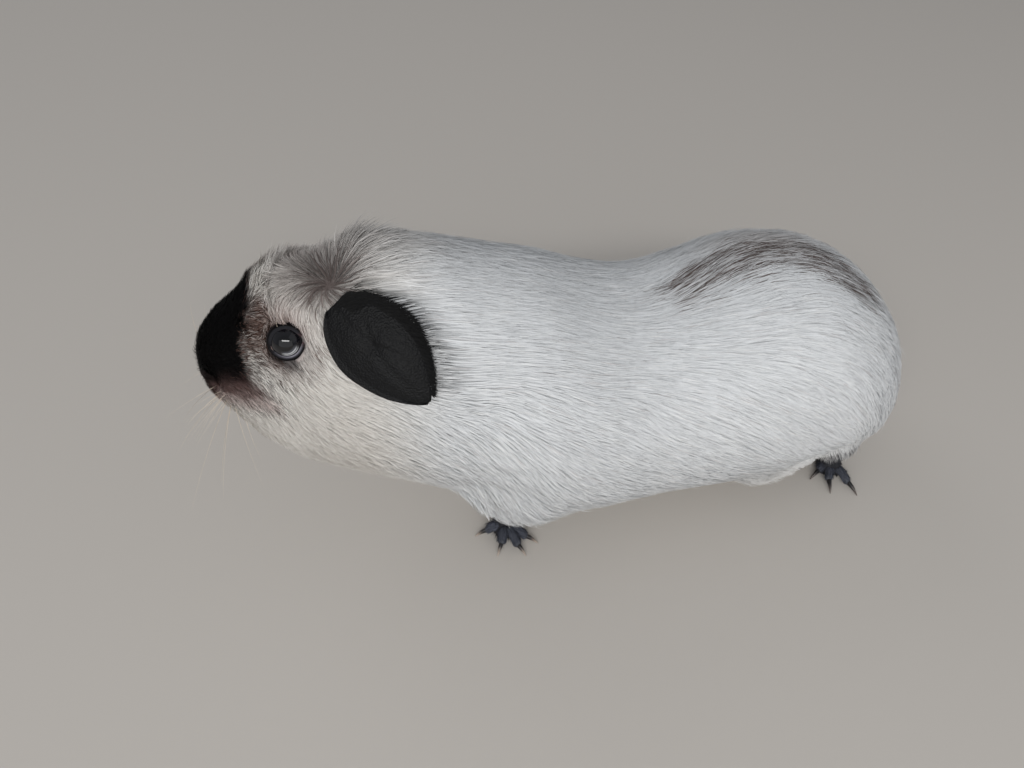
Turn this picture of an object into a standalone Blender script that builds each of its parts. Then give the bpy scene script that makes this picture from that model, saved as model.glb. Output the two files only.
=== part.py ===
# A life-size guinea pig standing on a flat floor with its head raised and turned a little to its left.
# Metres.  +Z up, floor at z = 0, nose towards -X, the animal's left side towards -Y.
import bpy
import bmesh
import math
import numpy as np
from mathutils import Vector, Matrix

for o in list(bpy.data.objects):
    bpy.data.objects.remove(o, do_unlink=True)

# ---------------------------------------------------------------- sizes
LENGTH = 0.262          # nose to rump, over the coat
X_NOSE = -0.131
MIDDLE = (0.0010, -0.0047)   # middle of the whole outline, taken off at the end
GAP = 0.0003            # clearance between parts that touch
ANKLE_Z = 0.0105        # the feet end here and the legs begin
FLAT_Z = 0.0            # soles

# body outline over the coat, from the nose backwards:
# distance from the nose, height of the back line, height of the belly line, half width, sideways shift
STATIONS = [
    (0.0032, 0.0990, 0.0884, 0.0070, -0.0050),
    (0.0068, 0.1046, 0.0828, 0.0106, -0.0056),
    (0.0125, 0.1118, 0.0742, 0.0152, -0.0068),
    (0.0220, 0.1202, 0.0625, 0.0212, -0.0084),
    (0.0340, 0.1306, 0.0538, 0.0264, -0.0100),
    (0.0470, 0.1352, 0.0488, 0.0312, -0.0110),
    (0.0620, 0.1366, 0.0425, 0.0350, -0.0112),
    (0.0790, 0.1322, 0.0340, 0.0390, -0.0110),
    (0.0980, 0.1228, 0.0245, 0.0444, -0.0098),
    (0.1180, 0.1130, 0.0165, 0.0480, -0.0082),
    (0.1380, 0.1018, 0.0138, 0.0474, -0.0060),
    (0.1580, 0.0960, 0.0134, 0.0462, -0.0042),
    (0.1780, 0.0992, 0.0132, 0.0474, -0.0032),
    (0.1980, 0.1032, 0.0130, 0.0486, -0.0018),
    (0.2180, 0.1014, 0.0124, 0.0470, -0.0008),
    (0.2360, 0.0938, 0.0112, 0.0424, 0.0000),
    (0.2490, 0.0822, 0.0106, 0.0364, 0.0000),
    (0.2576, 0.0680, 0.0170, 0.0250, 0.0000),
    (0.2612, 0.0545, 0.0310, 0.0110, 0.0000),
]
RING = 44               # points round each section
# how full a section is: level of its widest line, roundness above and below it
FULL_AT = [0.0, 0.07, 0.13, 0.262]
FULL_MID = [0.42, 0.43, 0.48, 0.48]
FULL_TOP = [1.80, 1.85, 2.15, 2.15]
FULL_LOW = [2.05, 2.20, 2.25, 2.20]

# head
EYE_R = 0.0056
EYE_LEFT = Vector((-0.0945, -0.0253, 0.1147))
EYE_RIGHT = Vector((-0.0945, 0.0053, 0.1147))
MUZZLE_X = -0.1045      # the dark muzzle cap ends about here
HEAD_X = -0.0700        # head meets neck
NECK_X = -0.0390        # neck meets chest
CHEST_X = 0.0090        # chest meets belly
BELLY_X = 0.0620        # belly meets rump

# ears
EAR_LEN = 0.0386
EAR_LOW = 0.0131        # half width below the ear's middle line
EAR_TOP = 0.0104        # and above it
EAR_THICK = 0.0009
FAR_EAR_DROP = 0.0050   # the right ear hangs a little lower

# feet: palm centre, toe tips (claw points) on the floor, number of toes by the list's length
FORE_L = dict(palm=(-0.0312, -0.0275), tips=[(-0.0431, -0.0322), (-0.0354, -0.0428), (-0.0245, -0.0447), (-0.0186, -0.0398)])
FORE_R = dict(palm=(-0.0400, 0.0215), tips=[(-0.0560, 0.0196), (-0.0560, 0.0290), (-0.0500, 0.0362), (-0.0412, 0.0374)])
HIND_L = dict(palm=(0.1130, -0.0245), tips=[(0.1030, -0.0300), (0.1082, -0.0382), (0.1190, -0.0412)])
HIND_R = dict(palm=(0.0905, 0.0270), tips=[(0.0745, 0.0262), (0.0742, 0.0360), (0.0825, 0.0440)])
FORE_CLAW = 0.0042
HIND_CLAW = 0.0052

BODY_FACES = 2050
FOOT_FACES = 235

# ---------------------------------------------------------------- helpers
scene = bpy.context.scene
parts = bpy.data.collections.new("guinea_pig")
cutters = bpy.data.collections.new("guinea_pig_cutters")
scene.collection.children.link(parts)
scene.collection.children.link(cutters)


def material(name, rgb, rough=0.6):
    m = bpy.data.materials.new(name)
    m.use_nodes = True
    b = m.node_tree.nodes["Principled BSDF"]
    b.inputs["Base Color"].default_value = (*rgb, 1)
    b.inputs["Roughness"].default_value = rough
    m.diffuse_color = (*rgb, 1)
    return m


def curve_through(xs, ys, at):
    """Monotone cubic through the points, so that no bulge appears between the named sizes."""
    xs, ys, at = (np.asarray(v, float) for v in (xs, ys, at))
    h = np.diff(xs)
    d = np.diff(ys) / h
    m = np.zeros_like(ys)
    for i in range(1, len(ys) - 1):
        if d[i - 1] * d[i] > 0:
            w1, w2 = 2 * h[i] + h[i - 1], h[i] + 2 * h[i - 1]
            m[i] = (w1 + w2) / (w1 / d[i - 1] + w2 / d[i])
    m[0], m[-1] = d[0], d[-1]
    k = np.clip(np.searchsorted(xs, at) - 1, 0, len(h) - 1)
    t = (at - xs[k]) / h[k]
    return (
        (2 * t**3 - 3 * t**2 + 1) * ys[k]
        + (t**3 - 2 * t**2 + t) * h[k] * m[k]
        + (3 * t**2 - 2 * t**3) * ys[k + 1]
        + (t**3 - t**2) * h[k] * m[k + 1]
    )


def add_ball(bm, centre, radii, turn=None, seg=24, rings=14):
    mat = Matrix.Translation(Vector(centre))
    if turn is not None:
        mat = mat @ turn.to_4x4()
    mat = mat @ Matrix.Diagonal((*radii, 1.0))
    bmesh.ops.create_uvsphere(bm, u_segments=seg, v_segments=rings, radius=1.0, matrix=mat)


def add_chain(bm, points, radii, step=0.35, seg=14, rings=9):
    """A limb as a close row of balls from point to point, welded later by the voxel skin."""
    for (a, ra), (b, rb) in zip(zip(points, radii), zip(points[1:], radii[1:])):
        a, b = Vector(a), Vector(b)
        n = max(1, int((b - a).length / (step * min(ra, rb))))
        for i in range(n + 1):
            t = i / n
            r = ra + (rb - ra) * t
            add_ball(bm, a.lerp(b, t), (r, r, r), seg=seg, rings=rings)


def to_object(bm, name, collection, mat=None):
    me = bpy.data.meshes.new(name)
    bm.to_mesh(me)
    bm.free()
    o = bpy.data.objects.new(name, me)
    collection.objects.link(o)
    if mat is not None:
        me.materials.append(mat)
    return o


def as_cutter(o):
    for c in list(o.users_collection):
        c.objects.unlink(o)
    cutters.objects.link(o)
    o.hide_render = True
    o.display_type = "WIRE"
    return o


def settle(o):
    """Keep the evaluated shape as the object's own mesh."""
    dg = bpy.context.evaluated_depsgraph_get()
    me = bpy.data.meshes.new_from_object(o.evaluated_get(dg), depsgraph=dg)
    o.modifiers.clear()
    old = o.data
    o.data = me
    me.name = o.name
    bpy.data.meshes.remove(old)
    return o


def shade_smooth(o):
    for p in o.data.polygons:
        p.use_smooth = True


def voxel_skin(o, size, smooth=0, factor=0.5):
    m = o.modifiers.new("skin", "REMESH")
    m.mode = "VOXEL"
    m.voxel_size = size
    m.adaptivity = 0.0
    if smooth:
        s = o.modifiers.new("soften", "SMOOTH")
        s.factor = factor
        s.iterations = smooth
    return settle(o)


def thin_out(o, faces):
    tri = sum(len(p.vertices) - 2 for p in o.data.polygons)
    d = o.modifiers.new("thin", "DECIMATE")
    d.ratio = min(1.0, faces / tri)
    d.use_collapse_triangulate = True
    return settle(o)


def boolean(o, cutter, op):
    m = o.modifiers.new(op.lower() + "_" + cutter.name, "BOOLEAN")
    m.object = cutter
    m.operation = op
    m.solver = "EXACT"
    return m


def box_cutter(name, lo, hi, tilt=0.0, pivot=None):
    bm = bmesh.new()
    bmesh.ops.create_cube(bm, size=1.0)
    lo, hi = Vector(lo), Vector(hi)
    c, s = (lo + hi) / 2, hi - lo
    for v in bm.verts:
        v.co = Vector((v.co.x * s.x, v.co.y * s.y, v.co.z * s.z)) + c
    if tilt:
        p = Vector(pivot)
        rot = Matrix.Translation(p) @ Matrix.Rotation(tilt, 4, "Y") @ Matrix.Translation(-p)
        bm.transform(rot)
    return as_cutter(to_object(bm, name, cutters))


def copy_of(o, name, mat):
    me = o.data.copy()
    me.name = name
    n = bpy.data.objects.new(name, me)
    me.materials.clear()
    me.materials.append(mat)
    parts.objects.link(n)
    return n


# ---------------------------------------------------------------- the body in one piece
def section(s):
    """Points of the body's section at distance s from the nose."""
    st = np.array(STATIONS)
    top, low, half, shift = (float(curve_through(st[:, 0], st[:, k], [s])[0]) for k in range(1, 5))
    mid = float(np.interp(s, FULL_AT, FULL_MID))
    et = float(np.interp(s, FULL_AT, FULL_TOP))
    el = float(np.interp(s, FULL_AT, FULL_LOW))
    h = top - low
    zc = low + mid * h
    th = np.linspace(0, 2 * math.pi, RING, endpoint=False)
    c, sn = np.cos(th), np.sin(th)
    e = np.where(sn > 0, et, el)
    b = np.where(sn > 0, (1 - mid) * h, mid * h)
    y = shift + half * np.sign(c) * np.abs(c) ** (2 / e)
    z = zc + b * np.sign(sn) * np.abs(sn) ** (2 / e)
    return [Vector((X_NOSE + s, float(a), float(d))) for a, d in zip(y, z)]


def body_loft(bm):
    first, last = STATIONS[0][0], STATIONS[-1][0]
    at = np.concatenate([np.linspace(first, 0.03, 12), np.linspace(0.0335, 0.243, 52), np.linspace(0.2455, last, 9)])
    rings = [[bm.verts.new(p) for p in section(float(s))] for s in at]
    for a, b in zip(rings, rings[1:]):
        for i in range(RING):
            j = (i + 1) % RING
            bm.faces.new((a[i], b[i], b[j], a[j]))
    bm.faces.new(rings[0])
    bm.faces.new(list(reversed(rings[-1])))


bm = bmesh.new()
body_loft(bm)
bmesh.ops.recalc_face_normals(bm, faces=bm.faces[:])
# muzzle: nose, the two halves of the upper lip, the lower lip and the chin
add_ball(bm, (-0.1226, -0.0052, 0.0940), (0.0058, 0.0076, 0.0066))
for side in (-1, 1):
    add_ball(bm, (-0.1176, -0.0066 + side * 0.0056, 0.0864), (0.0074, 0.0068, 0.0070))
    add_ball(bm, (-0.0870, -0.0096 + side * 0.0180, 0.0820), (0.0190, 0.0100, 0.0200))   # cheek
    add_ball(bm, (-0.0950, -0.0098 + side * 0.0088, 0.1190), (0.0130, 0.0064, 0.0068))   # brow
add_ball(bm, (-0.1115, -0.0070, 0.0742), (0.0078, 0.0066, 0.0058))
# crown, where the coat stands up round its whorl
add_ball(bm, (-0.0700, -0.0110, 0.1240), (0.0190, 0.0165, 0.0115))
# shoulders, elbows and haunches under the coat
for side in (-1, 1):
    add_ball(bm, (-0.0240, -0.0075 + side * 0.0340, 0.0530), (0.0270, 0.0130, 0.0270))
    add_ball(bm, (0.0800, -0.0012 + side * 0.0335, 0.0500), (0.0340, 0.0140, 0.0360))
# legs down to the ankles
add_chain(bm, [(-0.0260, -0.0250, 0.0340), (-0.0305, -0.0262, 0.0180), (-0.0312, -0.0268, 0.0125)], [0.0100, 0.0072, 0.0050])
add_chain(bm, [(-0.0320, 0.0170, 0.0340), (-0.0385, 0.0205, 0.0180), (-0.0392, 0.0210, 0.0125)], [0.0100, 0.0072, 0.0050])
add_chain(bm, [(0.0980, -0.0260, 0.0340), (0.1110, -0.0235, 0.0190), (0.1140, -0.0230, 0.0130)], [0.0130, 0.0086, 0.0056])
add_chain(bm, [(0.0860, 0.0250, 0.0340), (0.0920, 0.0262, 0.0190), (0.0930, 0.0262, 0.0130)], [0.0130, 0.0086, 0.0056])
body = to_object(bm, "body_whole", cutters)
voxel_skin(body, 0.0021, smooth=5, factor=0.5)
thin_out(body, BODY_FACES)
shade_smooth(body)
as_cutter(body)

# ---------------------------------------------------------------- cutters
BIG = 0.2
HEAD_TILT = math.radians(12)
m_cut = (MUZZLE_X, 0, 0.09)
h_cut = (HEAD_X, 0, 0.09)
n_cut = (NECK_X, 0, 0.06)


def ball_cutter(name, centre, radii, grow=0.0, turn=None, seg=12, rings=8):
    bm = bmesh.new()
    add_ball(bm, centre, tuple(r + grow for r in radii), turn, seg, rings)
    return as_cutter(to_object(bm, name, cutters))


muzzle_box = box_cutter("cut_muzzle", (MUZZLE_X - BIG, -BIG, -BIG), (MUZZLE_X, BIG, BIG * 2), math.radians(-2), m_cut)
muzzle_box_gap = box_cutter("cut_muzzle_gap", (MUZZLE_X - BIG, -BIG, -BIG), (MUZZLE_X + GAP, BIG, BIG * 2), math.radians(-2), m_cut)
head_box = box_cutter("cut_head", (HEAD_X - BIG, -BIG, -BIG), (HEAD_X, BIG, BIG * 2), HEAD_TILT, h_cut)
head_box_gap = box_cutter("cut_head_gap", (HEAD_X - BIG, -BIG, -BIG), (HEAD_X + GAP, BIG, BIG * 2), HEAD_TILT, h_cut)
neck_box = box_cutter("cut_neck", (NECK_X - BIG, -BIG, -BIG), (NECK_X, BIG, BIG * 2), HEAD_TILT, n_cut)
neck_box_gap = box_cutter("cut_neck_gap", (NECK_X - BIG, -BIG, -BIG), (NECK_X + GAP, BIG, BIG * 2), HEAD_TILT, n_cut)
chest_box = box_cutter("cut_chest", (CHEST_X - BIG, -BIG, -BIG), (CHEST_X, BIG, BIG * 2))
chest_box_gap = box_cutter("cut_chest_gap", (CHEST_X - BIG, -BIG, -BIG), (CHEST_X + GAP, BIG, BIG * 2))
belly_box = box_cutter("cut_belly", (BELLY_X - BIG, -BIG, -BIG), (BELLY_X, BIG, BIG * 2))
belly_box_gap = box_cutter("cut_belly_gap", (BELLY_X - BIG, -BIG, -BIG), (BELLY_X + GAP, BIG, BIG * 2))
above_ankle = box_cutter("cut_ankle", (-BIG, -BIG, ANKLE_Z + GAP), (BIG, BIG, BIG * 2))
ground = box_cutter("cut_ground", (-BIG, -BIG, FLAT_Z), (BIG, BIG, ANKLE_Z))

# ---------------------------------------------------------------- materials
white = material("coat_white", (0.80, 0.80, 0.78), 0.8)
black = material("coat_black", (0.02, 0.02, 0.022), 0.8)
ear_dark = material("ear_dark", (0.03, 0.03, 0.033), 0.6)
foot_dark = material("foot_dark", (0.06, 0.058, 0.06), 0.6)
eye_dark = material("eye_dark", (0.008, 0.008, 0.012), 0.05)
horn = material("claw_horn", (0.42, 0.34, 0.27), 0.4)

# ---------------------------------------------------------------- flesh nodes
LEG_BALLS = {
    "foreleg_left": ((-0.0270, -0.0370, 0.0300), (0.0230, 0.0240, 0.0420)),
    "foreleg_right": ((-0.0350, 0.0280, 0.0300), (0.0230, 0.0240, 0.0420)),
    "hindleg_left": ((0.1000, -0.0350, 0.0320), (0.0330, 0.0260, 0.0440)),
    "hindleg_right": ((0.0900, 0.0370, 0.0320), (0.0330, 0.0260, 0.0440)),
}
leg_cut, leg_cut_gap = {}, {}
for name, (c, r) in LEG_BALLS.items():
    leg_cut[name] = ball_cutter("cut_" + name, c, r)
    leg_cut_gap[name] = ball_cutter("cut_" + name + "_gap", c, r, GAP)

eye_cut = {}
for name, c in (("eye_left", EYE_LEFT), ("eye_right", EYE_RIGHT)):
    eye_cut[name] = ball_cutter("cut_" + name, c, (EYE_R,) * 3, GAP, seg=16, rings=9)

muzzle = copy_of(body, "muzzle", black)
boolean(muzzle, muzzle_box, "INTERSECT")

head = copy_of(body, "head", white)
boolean(head, head_box, "INTERSECT")
boolean(head, muzzle_box_gap, "DIFFERENCE")
for c in eye_cut.values():
    boolean(head, c, "DIFFERENCE")

neck = copy_of(body, "neck", white)
boolean(neck, neck_box, "INTERSECT")
boolean(neck, head_box_gap, "DIFFERENCE")

chest = copy_of(body, "chest", white)
boolean(chest, chest_box, "INTERSECT")
boolean(chest, neck_box_gap, "DIFFERENCE")

belly = copy_of(body, "belly", white)
boolean(belly, belly_box, "INTERSECT")
boolean(belly, chest_box_gap, "DIFFERENCE")

rump = copy_of(body, "rump", white)
boolean(rump, belly_box_gap, "DIFFERENCE")

for o in (chest, rump, neck, belly):
    for name, c in leg_cut_gap.items():
        near = "fore" if o in (chest, neck) else "hind"
        if name.startswith(near):
            boolean(o, c, "DIFFERENCE")

for name, c in leg_cut.items():
    leg = copy_of(body, name, white)
    boolean(leg, c, "INTERSECT")
    boolean(leg, above_ankle, "INTERSECT")

# ---------------------------------------------------------------- eyes
for name, c in (("eye_left", EYE_LEFT), ("eye_right", EYE_RIGHT)):
    bm = bmesh.new()
    add_ball(bm, c, (EYE_R,) * 3, seg=16, rings=9)
    o = to_object(bm, name, parts, eye_dark)
    shade_smooth(o)

# ---------------------------------------------------------------- feet and claws


def foot(name, spec, claw, is_fore):
    palm = Vector((*spec["palm"], 0.0))
    tips = [Vector((*t, 0.0)) for t in spec["tips"]]
    mean = sum(((t - palm).normalized() for t in tips), Vector()) / len(tips)
    mean.normalize()
    r_palm = 0.0056 if is_fore else 0.0058
    bm = bmesh.new()
    turn = Matrix.Rotation(math.atan2(mean.y, mean.x), 3, "Z")
    add_ball(bm, palm + mean * 0.0014 + Vector((0, 0, 0.0034)), (r_palm, r_palm * 0.95, 0.0040), turn)
    if not is_fore:
        heel = palm - mean * 0.0085
        add_chain(bm, [heel + Vector((0, 0, 0.0042)), palm + Vector((0, 0, 0.0034))], [0.0042, 0.0044])
    add_chain(bm, [palm + Vector((0, 0, 0.0040)) - mean * 0.001, palm + Vector((0, 0, 0.0130)) - mean * 0.001], [0.0048, 0.0047])
    made = []
    for i, tip in enumerate(tips):
        out = (tip - palm)
        reach = out.length - claw
        out.normalize()
        r0, r1 = (0.0024, 0.0017) if is_fore else (0.0027, 0.0019)
        knuckle = palm + out * (0.50 * reach) + Vector((0, 0, 0.0042))
        end = palm + out * reach + Vector((0, 0, 0.0018))
        add_chain(bm, [palm + out * 0.002 + Vector((0, 0, 0.0034)), knuckle, palm + out * (0.86 * reach) + Vector((0, 0, 0.0024)), end],
                  [r0, r0, r1 * 1.08, r1], step=0.3)
        made.append((i, out, end, r1))
    o = to_object(bm, name, parts, foot_dark)
    voxel_skin(o, 0.00062, smooth=3, factor=0.5)
    thin_out(o, FOOT_FACES)
    o.data.materials.clear()
    o.data.materials.append(foot_dark)
    shade_smooth(o)
    boolean(o, ground, "INTERSECT")
    for i, out, end, r1 in made:
        cname = "claw_" + name + "_" + str(i + 1)
        # a tapering hook: rings along a falling arc
        bm = bmesh.new()
        seg, steps = 6, 3
        side = Vector((-out.y, out.x, 0))
        rings = []
        for k in range(steps + 1):
            t = k / steps
            c = end - out * 0.0011 + out * ((claw + 0.0009) * t) + Vector((0, 0, 0.00035 - 0.0012 * t * t + 0.0002 * t))
            r = 0.00105 * (1 - t) ** 0.75 + 0.00022
            rings.append([bm.verts.new(c + side * (r * 0.85 * math.cos(a)) + Vector((0, 0, r * math.sin(a))))
                          for a in (2 * math.pi * q / seg for q in range(seg))])
        for a, b in zip(rings, rings[1:]):
            for q in range(seg):
                w = (q + 1) % seg
                bm.faces.new((a[q], a[w], b[w], b[q]))
        bm.faces.new(list(reversed(rings[0])))
        bm.faces.new(rings[-1])
        bmesh.ops.recalc_face_normals(bm, faces=bm.faces[:])
        c = to_object(bm, cname, parts, horn)
        shade_smooth(c)
        # the socket in the toe
        bm = bmesh.new()
        bm.from_mesh(c.data)
        centre = sum((v.co for v in bm.verts), Vector()) / len(bm.verts)
        for v, n in [(v, v.normal.copy()) for v in bm.verts]:
            v.co += n * GAP * 1.25
        s = as_cutter(to_object(bm, "cut_" + cname, cutters))
        boolean(o, s, "DIFFERENCE")
    return o


foot("forefoot_left", FORE_L, FORE_CLAW, True)
foot("forefoot_right", FORE_R, FORE_CLAW, True)
foot("hindfoot_left", HIND_L, HIND_CLAW, False)
foot("hindfoot_right", HIND_R, HIND_CLAW, False)

# ---------------------------------------------------------------- ears
EAR_ROOT_L = Vector((-0.0772, -0.0270, 0.1270))
EAR_TIP_L = Vector((-0.0556, -0.0480, 0.1058))
EAR_OUT_L = Vector((-0.12, -0.85, 0.52))
MIRROR_Y = -0.0106      # the plane that halves the head


def ear(name, mirrored):
    along = (EAR_TIP_L - EAR_ROOT_L).normalized()
    outw = EAR_OUT_L - along * EAR_OUT_L.dot(along)
    outw.normalize()
    across = along.cross(outw)
    nu, nv = 10, 6
    bm = bmesh.new()
    grid = []
    for i in range(nu + 1):
        u = i / nu
        # petal: round at the root, widest before the middle, coming to a blunt point
        t = 0.03 + 0.955 * u
        low = EAR_LOW * math.sin(math.pi * t**0.78) ** 0.62
        high = EAR_TOP * math.sin(math.pi * t**0.85) ** 0.80
        row = []
        for j in range(nv + 1):
            v = 2 * j / nv - 1
            bulge = 0.0026 * math.sin(math.pi * u) * (1 - 0.8 * v * v) + 0.0008 * u
            p = EAR_ROOT_L + along * (EAR_LEN * (u - 0.03)) + across * ((low if v > 0 else high) * v) + outw * bulge
            if mirrored:
                p = Vector((p.x, 2 * MIRROR_Y - p.y, p.z - FAR_EAR_DROP))
            row.append(bm.verts.new(p))
        grid.append(row)
    for i in range(nu):
        for j in range(nv):
            f = (grid[i][j], grid[i][j + 1], grid[i + 1][j + 1], grid[i + 1][j])
            bm.faces.new(f if mirrored else tuple(reversed(f)))
    o = to_object(bm, name, parts, ear_dark)
    s = o.modifiers.new("thickness", "SOLIDIFY")
    s.thickness = EAR_THICK
    s.offset = 0.0
    s.use_even_offset = False
    shade_smooth(o)
    # its slot in the coat
    c = o.copy()
    c.data = o.data.copy()
    c.name = "cut_" + name
    cutters.objects.link(c)
    c.modifiers["thickness"].thickness = EAR_THICK + 2 * GAP
    middle = sum((v.co for v in c.data.vertices), Vector()) / len(c.data.vertices)
    c.data.transform(Matrix.Translation(middle) @ Matrix.Scale(1.03, 4) @ Matrix.Translation(-middle))
    as_cutter(c)
    return o, c


for name, mirrored in (("ear_left", False), ("ear_right", True)):
    o, c = ear(name, mirrored)
    for flesh in (head, neck, chest):
        boolean(flesh, c, "DIFFERENCE")

# ---------------------------------------------------------------- origin under the middle of the whole animal
for o in list(parts.objects) + list(cutters.objects):
    o.data.transform(Matrix.Translation((-MIDDLE[0], -MIDDLE[1], 0.0)))
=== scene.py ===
"""A life-size guinea pig, standing: skin, coat, ears, eyes, lids, claws and whiskers.

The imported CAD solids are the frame. One skin replaces the nodes of flesh and lies inside
them by the depth of the coat. The coat is solid mesh: thin tapered locks rooted in the skin,
laid along a flow field that starts at the whorl on the crown and runs back over the body.
"""

import math

import bmesh
import bpy
import numpy as np
from mathutils import Matrix, Vector
from mathutils.bvhtree import BVHTree


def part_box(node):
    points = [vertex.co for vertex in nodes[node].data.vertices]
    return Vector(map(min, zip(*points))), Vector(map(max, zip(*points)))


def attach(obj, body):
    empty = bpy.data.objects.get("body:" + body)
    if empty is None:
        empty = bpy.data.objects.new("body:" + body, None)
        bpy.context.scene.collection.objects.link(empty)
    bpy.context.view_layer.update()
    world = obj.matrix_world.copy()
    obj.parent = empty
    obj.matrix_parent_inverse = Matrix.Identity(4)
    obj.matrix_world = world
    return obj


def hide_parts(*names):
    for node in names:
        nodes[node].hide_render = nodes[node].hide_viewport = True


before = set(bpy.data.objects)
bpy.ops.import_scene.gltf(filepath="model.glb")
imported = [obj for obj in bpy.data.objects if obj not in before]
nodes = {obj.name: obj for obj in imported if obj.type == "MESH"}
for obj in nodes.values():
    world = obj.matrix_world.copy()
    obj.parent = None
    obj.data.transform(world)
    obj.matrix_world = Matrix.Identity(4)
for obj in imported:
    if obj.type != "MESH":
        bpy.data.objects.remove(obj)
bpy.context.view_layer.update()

EYE_L = np.array((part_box("eye_left")[0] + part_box("eye_left")[1]) / 2)
EYE_R = np.array((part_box("eye_right")[0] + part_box("eye_right")[1]) / 2)
EYE_L = EYE_L + np.array((0.0010, -0.0001, 0.0004))      # the opening as the photo shows it
EYE_R = EYE_R + np.array((0.0010, 0.0001, 0.0004))
EYE_RAD = float((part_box("eye_left")[1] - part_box("eye_left")[0])[2]) / 2
MID_Y = float(EYE_L[1] + EYE_R[1]) / 2          # the plane that halves the head
WHORL = np.array((-0.0803, -0.0128, 0.1277))    # set on the skin once that is made

FLESH_TRUNK = ["muzzle", "head", "neck", "chest", "belly", "rump",
               "foreleg_left", "foreleg_right", "hindleg_left", "hindleg_right"]
FLESH_FEET = ["forefoot_left", "forefoot_right", "hindfoot_left", "hindfoot_right"]
FEET_BOX = {n: (np.array(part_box(n)[0]), np.array(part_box(n)[1])) for n in FLESH_FEET}


# ---------------------------------------------------------------- small helpers
def norm(a):
    return a / np.maximum(np.linalg.norm(a, axis=-1, keepdims=True), 1e-12)


def step(a, b, x):
    """Smooth 0 to 1 as x goes from a to b."""
    t = np.clip((x - a) / (b - a), 0, 1)
    return t * t * (3 - 2 * t)


def waves(seed, size, count=9):
    """A smooth noise of about unit range, as a sum of sine waves. size is its grain in metres."""
    r = np.random.default_rng(seed)
    k = norm(r.normal(size=(count, 3))) * (2 * np.pi / size) * r.uniform(0.6, 1.5, (count, 1))
    ph = r.uniform(0, 2 * np.pi, count)

    def at(p):
        return np.sin(p @ k.T + ph).sum(axis=-1) / math.sqrt(count / 2) * 0.6

    return at


def mesh_arrays(me):
    n = len(me.vertices)
    co = np.empty(n * 3, np.float32)
    me.vertices.foreach_get("co", co)
    no = np.empty(n * 3, np.float32)
    me.vertex_normals.foreach_get("vector", no)
    return co.reshape(-1, 3).astype(np.float64), no.reshape(-1, 3).astype(np.float64)


def link(o):
    bpy.context.scene.collection.objects.link(o)
    return o


def evaluated(o):
    dg = bpy.context.evaluated_depsgraph_get()
    return bpy.data.meshes.new_from_object(o.evaluated_get(dg))


def colour_attribute(me, rgb, name="coat"):
    a = me.color_attributes.new(name, "FLOAT_COLOR", "POINT")
    buf = np.ones((len(me.vertices), 4), np.float32)
    buf[:, :3] = rgb
    a.data.foreach_set("color", buf.ravel())


def smooth_shading(me):
    me.polygons.foreach_set("use_smooth", np.ones(len(me.polygons), bool))


def srgb(r, g, b):
    c = np.array((r, g, b), float) / 255
    return np.where(c <= 0.04045, c / 12.92, ((c + 0.055) / 1.055) ** 2.4)


# toes: (palm, claw bases, claw tips) of each foot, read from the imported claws
TOES, PALM = {}, {}
for foot in FLESH_FEET:
    f_lo, f_hi = FEET_BOX[foot]
    palm = (f_lo + f_hi) / 2
    rows = []
    for name, obj in nodes.items():
        if name.startswith("claw_" + foot):
            c_, _ = mesh_arrays(obj.data)
            rows.append(c_)
    ends = np.array([c_[np.linalg.norm(c_[:, :2] - palm[:2], axis=1).argmax()] for c_ in rows])
    # the palm sits behind the fan of toes
    back = palm[:2] - (ends[:, :2].mean(0) - palm[:2]) * 0.10
    PALM[foot] = np.array((back[0], back[1], 0.0050))
    bases = np.array([c_[np.linalg.norm(c_[:, :2] - PALM[foot][:2], axis=1).argmin()] for c_ in rows])
    TOES[foot] = (bases, ends)


# ---------------------------------------------------------------- regions
def near_feet(p):
    """1 on the bare feet, 0 above the wrist and hock."""
    w = np.zeros(len(p))
    for lo, hi in FEET_BOX.values():
        inside = np.ones(len(p))
        for k, pad in ((0, 0.0045), (1, 0.0045)):
            inside *= 1 - step(0, pad, np.maximum(lo[k] - p[:, k], p[:, k] - hi[k]))
        w = np.maximum(w, inside * (1 - step(0.0098, 0.0140, p[:, 2])))
    return w


def head_share(p):
    """1 on the face, falling to 0 behind the ears."""
    return 1 - step(-0.082, -0.060, p[:, 0])


def hump(p, at, radii):
    """A soft bump of height 1 at a place, with its own reach along each axis."""
    return np.exp(-(((p - np.array(at)) / np.array(radii)) ** 2).sum(1))


def depth_of(p):
    """How far the skin lies inside the coat's surface."""
    x, z = p[:, 0], p[:, 2]
    d = np.full(len(p), 0.0042)
    d = d + 0.0006 * step(0.060, 0.110, x)
    face = 1 - step(-0.094, -0.060, x)
    d = d * (1 - face) + 0.0019 * face
    d = d + 0.0024 * hump(p, (-0.078, -0.008, 0.135), (0.016, 0.017, 0.010))
    d = d + 0.0012 * hump(p, (-0.096, -0.006, 0.131), (0.008, 0.012, 0.008))
    nose = 1 - step(-0.118, -0.099, x)
    d = d * (1 - nose) + 0.0006 * nose
    leg = 1 - step(0.012, 0.030, z)
    d = d * (1 - leg) + np.minimum(d, 0.0020) * leg
    for sgn in (-1, 1):
        d = d + 0.0048 * hump(p, (-0.0440, -0.001 + sgn * 0.046, 0.042), (0.0150, 0.013, 0.0220))
        d = d + 0.0022 * hump(p, (-0.0390, -0.001 + sgn * 0.040, 0.018), (0.0090, 0.012, 0.010))
    bare = near_feet(p)
    return d * (1 - bare)


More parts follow.
